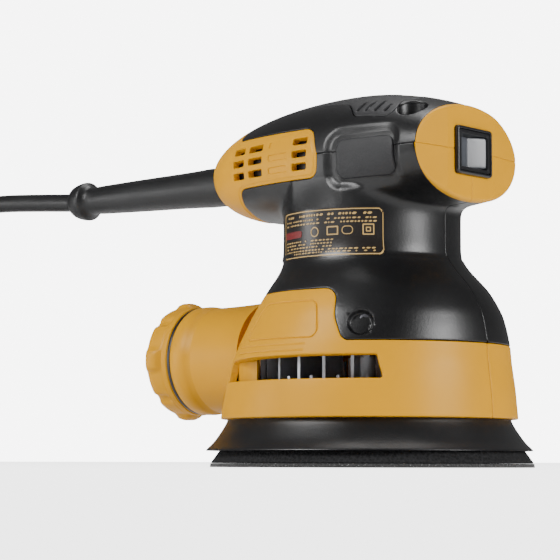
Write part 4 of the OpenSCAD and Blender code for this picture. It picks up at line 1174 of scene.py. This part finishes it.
BEZEL = [(0.0, 48.3), (0.0, 49.6), (0.12, 50.0), (0.4, 50.3), (0.8, 50.4), (1.1, 50.3),
         (1.25, 50.0), (1.3, 48.3)]
FRAME = [(0.0, 46.0), (0.0, 49.7), (0.15, 49.95), (1.35, 49.95), (1.6, 49.7), (2.3, 44.0),
         (2.3, 41.0), (0.0, 41.0)]
piece("switch_rim", framed(BEZEL, 23.0, 18.2, 1.6), "switch_black", "switch_bezel")
piece("switch_frame", joined(framed(FRAME, 20.3, 15.5, 1.0),
                             framed([(0, 30), (0, 41.2), (9, 41.2), (9, 30)], 20.2, 15.4, 1.0)),
      "switch_black", "switch_body")


# %% Rocker
def rocker():
    """The rocker's outline seen from above, stacked in layers that draw in at both ends, and
    turned about the pin by half its throw of 20 degrees."""
    plan = filleted([(-1.8, -2.4, .5), (1.6, -8.0, .4), (4.4, -7.9, .5), (1.5, -0.5, 1),
                     (1.5, 0.5, 1), (4.4, 7.9, .5), (1.6, 8.0, .4), (-1.8, 2.4, .5)])
    pin_x, middle = 45.0, np.array([0.6, 0.0])
    high = np.array([-5.7, -5.7, -5.6, -5.2, -4.6, 4.6, 5.2, 5.6, 5.7, 5.7])
    draw = np.array([0, .90, .95, .985, 1, 1, .985, .95, .90, 0])
    tilt = math.radians(-10)
    flat = middle + (plan - middle)[None, :, :] * draw[:, None, None]
    x = pin_x + flat[..., 0] * math.cos(tilt) - flat[..., 1] * math.sin(tilt)
    y = flat[..., 0] * math.sin(tilt) + flat[..., 1] * math.cos(tilt)
    return closed(np.stack([x, y, SWITCH_Z + high[:, None] + 0 * x], -1))


piece("rocker_paddle", rocker(), "switch_grey", "switch_rocker", "rocker")

# %% [markdown]
# ## Rating label
# The label is a foil wrapped round the neck, with a gold border and rows of small marks. The
# marks only stand for print: they are bars of uneven length and spell nothing.

# %% Label
LABEL_R, LABEL_Z, LABEL_HIGH = 34.6, 87.9, 18.6
LABEL_FROM, LABEL_TO = math.radians(-127), math.radians(-45.5)
LABEL_LONG = LABEL_R * (LABEL_TO - LABEL_FROM)


def label_patch(u, v, lift):
    """Carries flat label places, u along and v up in millimetres, on to the neck."""
    turn = LABEL_FROM + (u + LABEL_LONG / 2) / LABEL_R
    r = body_radius(LABEL_Z + v) + 0.14 + lift
    return np.stack([body_shift(LABEL_Z + v) + r * np.cos(turn), r * np.sin(turn), LABEL_Z + v],
                    -1)


FOIL = 0.12


def foil(centre, size, radius, lift, hole=None, cells=(90, 36)):
    """A rounded rectangle of foil, with a hole of the same kind if one is given."""
    u = centre[0] + np.linspace(-.5, .5, cells[0])[:, None] * size[0] * 1.02
    v = centre[1] + np.linspace(-.5, .5, cells[1])[None, :] * size[1] * 1.02
    grid = label_patch(u + 0 * v, v + 0 * u, lift)

    def room(p):
        turn = np.arctan2(p[:, 1], p[:, 0] - body_shift(p[:, 2]))
        a, b = (turn - LABEL_FROM) * LABEL_R - LABEL_LONG / 2, p[:, 2] - LABEL_Z
        inside = -box_distance(a, b, centre, size, radius)
        return inside if hole is None else np.minimum(inside, box_distance(a, b, *hole))

    return walled(kept(*split(sheet(grid), room, 0.0)), FOIL)


border = foil((0, 0), (LABEL_LONG - .9, LABEL_HIGH - .9), 2.2, 0.16,
              ((0, 0), (LABEL_LONG - 1.9, LABEL_HIGH - 1.9), 1.8))
piece("label_foil", foil((0, 0), (LABEL_LONG, LABEL_HIGH), 2.6, 0.0), "label_black",
      "rating_label")
piece("label_border", border, "label_gold")

# %% Label marks
# Rows of print, as (height on the label, height of the marks), then outlined shapes, as
# (u, v, width, height, corner, line width).
PRINT_ROWS = ((6.9, .9), (5.2, .6), (3.8, .6), (-2.7, .55), (-3.9, .55), (-5.1, .55),
              (-6.3, .55), (-7.3, .5))
OUTLINES = ((-3.4, 0.5, 3.8, 3.8, 1.85, .4), (4.6, 0.6, 4.8, 3.4, .2, .5),
            (10.6, 0.6, 4.4, 3.2, 1.5, .3), (18.6, 0.7, 4.4, 4.2, .3, .45),
            (18.6, 0.7, 1.9, 1.8, .2, .4))
MARGIN = 2.6
marks_rng = np.random.default_rng(7)
mark_solids = []
for row, height in PRINT_ROWS:
    start = -LABEL_LONG / 2 + MARGIN
    limit = LABEL_LONG / 2 - MARGIN if row > 0 or row < -6 else 6.0
    while start < limit:
        long = marks_rng.uniform(0.5, 1.9)
        if marks_rng.random() < 0.86 and start + long < limit:
            mark_solids.append(foil((start + long / 2, row), (long, height), 0.2, 0.14,
                                    cells=(4, 3)))
        start += long + marks_rng.uniform(0.25, 0.5)
for u, v, wide, high, corner, line in OUTLINES:
    mark_solids.append(foil((u, v), (wide, high), corner, 0.14,
                            ((u, v), (wide - 2 * line, high - 2 * line),
                             max(0.1, corner - line)), (24, 20)))
piece("label_marks", joined(*mark_solids), "label_gold")
piece("label_block", foil((-17.0, 0.2), (13.0, 2.6), 0.5, 0.15, cells=(20, 5)), "label_red")

# %% [markdown]
# ## Shroud
# The yellow shroud is a drum whose radius and centre change a little with height. Behind, it
# climbs the dome as a tower. One long window on each side shows the fan. It is a grid of
# angle and height, cut by the tower's outline and the window, with a sunken line round the
# tower's panel.

# %% Shroud's grid and outlines
DRUM_LOW, TOWER_HIGH = 18.4, 66.3
PORT_Z, SOCKET_R = 43.4, 21.0
CREASES = (45.2, 42.9)


def drum_grid(around=420, rows=90):
    """Angle by height on the body's tables."""
    z = np.linspace(DRUM_LOW, TOWER_HIGH, rows)[:, None]
    turn = np.linspace(-np.pi, np.pi, around, endpoint=False)[None, :]
    r = body_radius(z)
    return np.stack([body_shift(z) + r * np.cos(turn), r * np.sin(turn), z + 0 * turn], -1)


def around_body(p):
    """Angle about the body's own centre at each point's height, in degrees."""
    return np.degrees(np.arctan2(p[:, 1], p[:, 0] - body_shift(p[:, 2])))


WINDOW_ARC, TOWER_ARC = 0.93, 0.85  # one degree round the body there, in millimetres
WINDOW = filleted([(48.2, 32.5, 1.0), (133.6, 32.3, 1.2), (135, 36.5, 2), (134, 40.4, 2.5),
                   (112, 41.0, 0), (83, 41.2, 0), (51.2, 41.2, 1.2)])
PANEL_EDGE = filleted([(77, 47.6, 2.5), (82, 61.5, 4.5), (118, 61.5, 5), (122, 47.6, 3)])


def from_window(p):
    """Distance outside the exhaust window's outline of (degrees from the front, height)."""
    return polygon_distance(np.abs(around_body(p)), p[:, 2], WINDOW) * WINDOW_ARC


def from_panel_edge(p):
    """Distance outside the outline of the tower's panel."""
    return polygon_distance(
        np.abs(around_body(p)) * TOWER_ARC, p[:, 2], PANEL_EDGE * (TOWER_ARC, 1))


def from_creases(p):
    """Distance from two level creases under the panel, which stop ahead of the tower's front."""
    level = np.min([np.abs(p[:, 2] - crease) for crease in CREASES], 0)
    return np.maximum(level, (np.abs(np.abs(around_body(p)) - 104) - 22) * 0.9)


def from_socket(p):
    """Distance outside the dust socket's opening in the drum, along its axis from behind."""
    return np.where(p[:, 0] < 0, np.hypot(p[:, 1], p[:, 2] - PORT_Z) - SOCKET_R, FAR)


drum_skin = sheet(drum_grid(), wrap_columns=True, flip=True)
print("drum:", len(drum_skin[1]), "triangles")


# %% Shroud halves
def shroud_half(side):
    """Half the drum and tower. The fine lines get points of their own before they are sunk."""
    skin, _ = split(drum_skin, from_panel_edge, 0.0)
    for crease in CREASES:
        skin, _ = split(skin, lambda p: p[:, 2], crease)
    skin = sunk(skin, lambda p: np.abs(from_panel_edge(p)), 0.4, 0.0, 0.38, 4)
    skin = sunk(skin, from_creases, 0.25, 0.0, 0.4, 3)

    def room(p):
        top = np.maximum(DRUM_TOP - 0.12 - p[:, 2], -from_tower(p))
        return np.minimum.reduce([side * p[:, 1] - SEAM / 2, top, from_window(p),
                                  p[:, 2] - DRUM_LOW - 0.02, from_socket(p)])

    return walled(trimmed(skin, room, 0.55), 3.0)


def window_sill(side):
    """The inner yellow wall seen through the rear end of the window: a sloping screen."""
    turn = np.radians(side * np.linspace(117, 137, 24))[:, None]
    z = np.linspace(31, 42.5, 8)[None, :]
    r = 50.2 - 3.2 * np.linspace(1, 0, 24)[:, None] ** 2 + 0 * z
    places = np.stack([1 + r * np.cos(turn), r * np.sin(turn), z + 0 * turn], -1)
    return walled(sheet(places, flip=side > 0), 1.2)


for side, name in SIDES:
    piece(f"shroud_{name}_skin", joined(shroud_half(side), window_sill(side)), "shell_yellow",
          f"shroud_{name}")

# %% [markdown]
# ## Dust port and collar
# The port is a stub along -X that the hose or the bag pushes on to. It widens a little away
# from the drum and ends in a step, where a collar with grip bumps turns. Both are turned
# profiles. The collar's radius also swells at four places round it.

# %% Port and collar
PORT = [
    (18.5, 40), (18.5, 97.5), (20.0, 97.5), (20.0, 89.4), (21.9, 89.3), (22.4, 88.9),
    (22.45, 87.4), (22.3, 86.6), (21.8, 86.2), (21.8, 84.6), (22.2, 84.1), (22.3, 80),
    (21.9, 77.0), (21.6, 76.6), (21.5, 72), (20.9, 68), (19.8, 62), (19.4, 57), (19.6, 48),
    (19.6, 40)]
BORE_R, STUB_R = 19.5, 21.6


def port_flare():
    """The port's foot: from 74 mm to 46 mm behind the axis it opens out, more at its sides than
    above and below, and it stays level under the drum's lower edge."""
    along, turn = np.linspace(74, 46, 26)[:, None], full_turn(96)
    spread = ((74 - along) / 28) ** 1.6
    r = STUB_R + 0 * turn + spread * (1.2 + 2.6 * np.abs(np.cos(turn)) ** 2)
    outer, inner = (np.stack([-along + 0 * turn, radius * np.cos(turn) + 0 * r,
                              PORT_Z + radius * np.sin(turn) + 0 * r], -1)
                    for radius in (r, BORE_R))
    place, tris = closed(np.concatenate([outer, inner[::-1]]), True)
    place[:, 2] = np.maximum(place[:, 2], DRUM_LOW + 0.2)
    return place, tris


piece("port_stub", joined(revolved(PORT, "-X", (0, 0, PORT_Z), 120), port_flare()),
      "shell_yellow", "dust_port")


def collar():
    """Rings of radius by angle: they swell by up to 1.9 mm at four bumps, and each has a
    shallow notch midway between two bumps."""
    profile = np.array([(20.5, 88.8), (22.2, 88.8), (22.4, 89.2), (22.4, 90.4), (22.4, 92.5),
                        (22.4, 94.5), (22.3, 96.2), (21.9, 97.2), (21.3, 97.5), (20.5, 97.5)])
    bump = np.array([0, 0, 0, .6, 1, 1, .8, .4, .1, 0])[:, None]
    turn, ring_r = full_turn(192), 22.4
    near = np.abs((turn + np.pi / 4) % (np.pi / 2) - np.pi / 4) * ring_r
    swell = 1.9 / (1 + np.exp((near - 4.2) * 2.2))
    notch = 1.0 / (1 + np.exp((ring_r * np.pi / 4 - near - 1.9) * 3)) * (bump > 0)
    r = profile[:, :1] + swell * bump - notch * (profile[:, :1] > 21)
    h = profile[:, 1:] + 0 * turn
    return closed(np.stack([-h, r * np.cos(turn), PORT_Z + r * np.sin(turn)], -1), True)


piece("collar_ring", collar(), "shell_yellow", "dust_collar", "collar")
SEAL = [(20.5, 84.7), (22.0, 84.7), (22.15, 85.4), (22.0, 86.1), (20.5, 86.1)]
piece("port_seal", revolved(SEAL, "-X", (0, 0, PORT_Z), 120), "skirt_rubber")

# %% [markdown]
# ## Skirt and pad
# The rubber skirt is a thin lip that flares over the pad to keep the dust in. The pad under
# it is layered: a plastic plate, foam with a chamfered edge, and the hook layer. The plate
# keeps its CAD shape, the foam and hooks are discs with holes, and the skirt is turned.

# %% Skirt, foam and hooks
SKIRT = eased([
    (50.2, 22.2), (54.0, 22.2), (54.6, 18.6), (55.3, 16.6), (57.4, 13.2), (60.1, 9.4),
    (63.0, 6.7), (63.1, 6.2), (61.2, 6.3), (58.4, 9.2), (55.4, 12.8), (53.2, 16.4)])
piece("skirt_lip", revolved(SKIRT, "Z", (0, 0, 0), 160), "skirt_rubber",
      "dust_skirt")
PAD_X, HOLE_RING_R, HOLE_R, BEVEL = 1.3, 32.5, 5.0, 12


def pad_layer(name, low, high, r_low, r_high, roll, finish, node_name):
    """A pad layer: a disc with a rolled edge and dust holes, given its height as a wall. Its
    upper side is then drawn in towards the smaller radius over the outer few millimetres."""
    holes = [(PAD_X + HOLE_RING_R * math.cos(a), HOLE_RING_R * math.sin(a))
             for a in (np.arange(8) + 0.5) * math.pi / 4]

    def room(p):
        return np.minimum.reduce(
            [r_low - np.hypot(p[:, 0] - PAD_X, p[:, 1])]
            + [np.hypot(p[:, 0] - x, p[:, 1] - y) - HOLE_R for x, y in holes])

    r, turn = r_low * np.sqrt(np.linspace(0, 1, 44))[:, None] * 1.001, full_turn(128)
    disc = np.stack([PAD_X + r * np.cos(turn), r * np.sin(turn), low + 0 * r * turn], -1)
    place, tris = walled(
        trimmed(sheet(disc, wrap_columns=True, flip=True), room, roll), high - low)
    top = place[:, 2] > (low + high) / 2
    reach = np.hypot(place[:, 0] - PAD_X, place[:, 1])
    edge = np.clip((reach - (r_low - BEVEL)) / BEVEL, 0, 1)
    shrink = 1 - top * edge * (r_low - r_high) / np.maximum(reach, 1)
    place[:, 0] = PAD_X + (place[:, 0] - PAD_X) * shrink
    place[:, 1] *= shrink
    return piece(name, (place, tris), finish, node_name, "pad")


pad_cushion = pad_layer("foam_cushion", 1.55, 8.0, 62.0, 57.6, 0.4, "pad_foam", "pad_foam")
pad_layer("hook_sheet", 0.0, 1.5, 62.5, 62.3, 0.25, "hook_layer", "hook_face")

# %% [markdown]
# ## Fan tabs
# Between the fan's tall blades stand short tabs. Only their tips show in the window. All of
# them are one box, turned about the motor's axis to each place.

# %% Fan tabs
fan_low, fan_high = (np.array(corner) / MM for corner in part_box("impeller"))
FAN_R, FAN_Z, TAB_TIP, TAB_HALF, TABS = fan_high[0], fan_low[2] + 1.2, 34.0, 0.55, 24
tab_turn = np.radians(360 / TABS * (np.arange(TABS) + 0.5) - 1.4)[:, None]
along = np.tile([FAN_R - 5.6, FAN_R - 0.5, FAN_R - 0.5, FAN_R - 5.6], 2)[None, :]
across = np.tile([-TAB_HALF, -TAB_HALF, TAB_HALF, TAB_HALF], 2)[None, :]
tab_places = np.stack([along * np.cos(tab_turn) - across * np.sin(tab_turn),
                       along * np.sin(tab_turn) + across * np.cos(tab_turn),
                       np.repeat([FAN_Z, TAB_TIP], 4)[None, :] + 0 * tab_turn], -1)
BOX_TRIS = np.array([[0, 2, 1], [0, 3, 2], [4, 5, 6], [4, 6, 7], [0, 1, 5], [0, 5, 4],
                     [1, 2, 6], [1, 6, 5], [2, 3, 7], [2, 7, 6], [3, 0, 4], [3, 4, 7]])
tab_tris = (BOX_TRIS[None] + 8 * np.arange(TABS)[:, None, None]).reshape(-1, 3)
piece("fan_tabs", (tab_places.reshape(-1, 3), tab_tris), "fan_alloy",
      body="rotor")

# %% [markdown]
# ## Cord sleeve and screws
# The sleeve is a long rubber taper with a bulb at its end, turned about the cord. The screws
# have a rounded head with a six-lobed socket: the radius of the socket waves six times round.

# %% Sleeve
SLEEVE = [
    (3.95, 150), (3.95, 161), (4.7, 161), (5.4, 160.7), (6.3, 159.9), (7.1, 158.6), (7.7, 156.9),
    (8.15, 154.9), (8.35, 153.2), (8.3, 152.5), (8.0, 152.1), (7.0, 151.2), (6.2, 150.3),
    (5.95, 149.2), (5.9, 146.5), (6.1, 143.5), (6.5, 132), (7.0, 115), (7.4, 98), (7.75, 88),
    (8.1, 81), (8.1, 62), (3.95, 62)]
piece("cord_sleeve", revolved(SLEEVE, "-X", (0, 0, CORD_Z), 64), "cord_rubber",
      "strain_relief")


def screw_head(spot, axis, radius=3.6, height=2.4):
    """A screw at a spot with its head out along an axis: rings of (radius, height), in which
    the socket's radius waves six times round."""
    rings = np.array([(0, -6), (1.7, -6), (1.7, 0), (radius, 0), (radius, height * .5),
                      (radius * .93, height * .8), (radius * .74, height), (1.95, height),
                      (1.75, height - .2), (1.7, height - 1.5), (0, height - 1.8)])
    wave = np.array([0, 0, 0, 0, 0, 0, 0, .16, .18, .18, 0])[:, None]
    turn = full_turn(48)
    r = rings[:, :1] * (1 + wave * np.cos(6 * turn))
    axes = np.array(Vector(axis).to_track_quat("Z", "Y").to_matrix())
    places = np.stack([r * np.cos(turn), r * np.sin(turn), rings[:, 1:] + 0 * turn], -1)
    return closed(places @ axes.T + np.array(spot))


piece("well_screws", joined(*(screw_head((x, y, 128.02), (0, 0, 1)) for x, y in BOSSES)),
      "steel", "top_cover_screws")
dome_axis = [(math.cos(math.radians(side * 56.0)), math.sin(math.radians(side * 56.0)), 0.0)
             for side, _ in SIDES]
piece("dome_screws", joined(*(screw_head((1.8 + 46.0 * a, 46.0 * b, 52.9), (a, b, c))
                              for a, b, c in dome_axis)),
      "carbon", "housing_screws")

# %% [markdown]
# ## What stays as CAD
# The motor, the bearings, the fan and the pad's plate keep their CAD meshes. Each gets the
# finish of its stuff: stacked sheet steel, wound copper, bright races, grey cast alloy.

# %% Finishes for the CAD nodes
CAD_FINISHES = {
    "stator_core": "sheet_steel", "rotor_core": "sheet_steel",
    "stator_coils": "wound_copper", "rotor_windings": "wound_copper",
    "commutator": "bar_copper", "brush_holders": "brass", "brushes": "carbon",
    "brush_springs": "steel", "bearing_plate": "cast_alloy", "fan_baffle": "inner_plastic",
    "upper_bearing_seat": "inner_plastic", "cord_clamp": "inner_plastic",
    "rotor_shaft": "steel", "impeller": "fan_alloy", "eccentric": "cast_alloy",
    "pad_spindle": "steel", "pad_plate": "pad_black", "pad_screws": "steel",
    "bearing_plate_screws": "steel",
}
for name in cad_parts:
    if "bearing_" in name and name not in CAD_FINISHES:
        CAD_FINISHES[name] = "bearing_steel"
for name, finish in CAD_FINISHES.items():
    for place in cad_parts[name].material_slots:
        place.material = finishes[finish]
left = [n for n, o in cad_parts.items() if not o.hide_render and n not in CAD_FINISHES]
print("CAD nodes with a finish:", len(CAD_FINISHES), "| without one:", left)

# %% [markdown]
# ## Floor and finish
# The floor lies just under the pad and the coil.

# %% Floor
FLOOR_HALF, FLOOR_Z = 20.0, -0.0004
floor_mesh = bpy.data.meshes.new("floor")
floor_mesh.from_pydata([(x, y, FLOOR_Z) for x, y in square(FLOOR_HALF)], [], [(0, 1, 2, 3)])
floor_stuff, floor_tree, floor_surface = shader("pale_floor")
floor_surface.inputs["Base Color"].default_value = (0.95, 0.95, 0.95, 1)
floor_surface.inputs["Roughness"].default_value = 0.7
floor_glow = node(floor_tree, "ShaderNodeEmission", Strength=4.6)
floor_mix = node(floor_tree, "ShaderNodeMixShader")
floor_seen = node(floor_tree, "ShaderNodeLightPath")
floor_part = node(floor_tree, "ShaderNodeMath", operation="MULTIPLY")
floor_part.inputs[1].default_value = 0.75  # how much of the floor the camera sees as lit
floor_out = next(n for n in floor_tree.nodes if n.type == "OUTPUT_MATERIAL")
floor_tree.links.new(floor_seen.outputs["Is Camera Ray"], floor_part.inputs[0])
floor_tree.links.new(floor_part.outputs[0], floor_mix.inputs[0])
floor_tree.links.new(floor_surface.outputs[0], floor_mix.inputs[1])
floor_tree.links.new(floor_glow.outputs[0], floor_mix.inputs[2])
floor_tree.links.new(floor_mix.outputs[0], floor_out.inputs["Surface"])
floor_mesh.materials.append(floor_stuff)
floor = bpy.data.objects.new("floor", floor_mesh)
bpy.context.scene.collection.objects.link(floor)
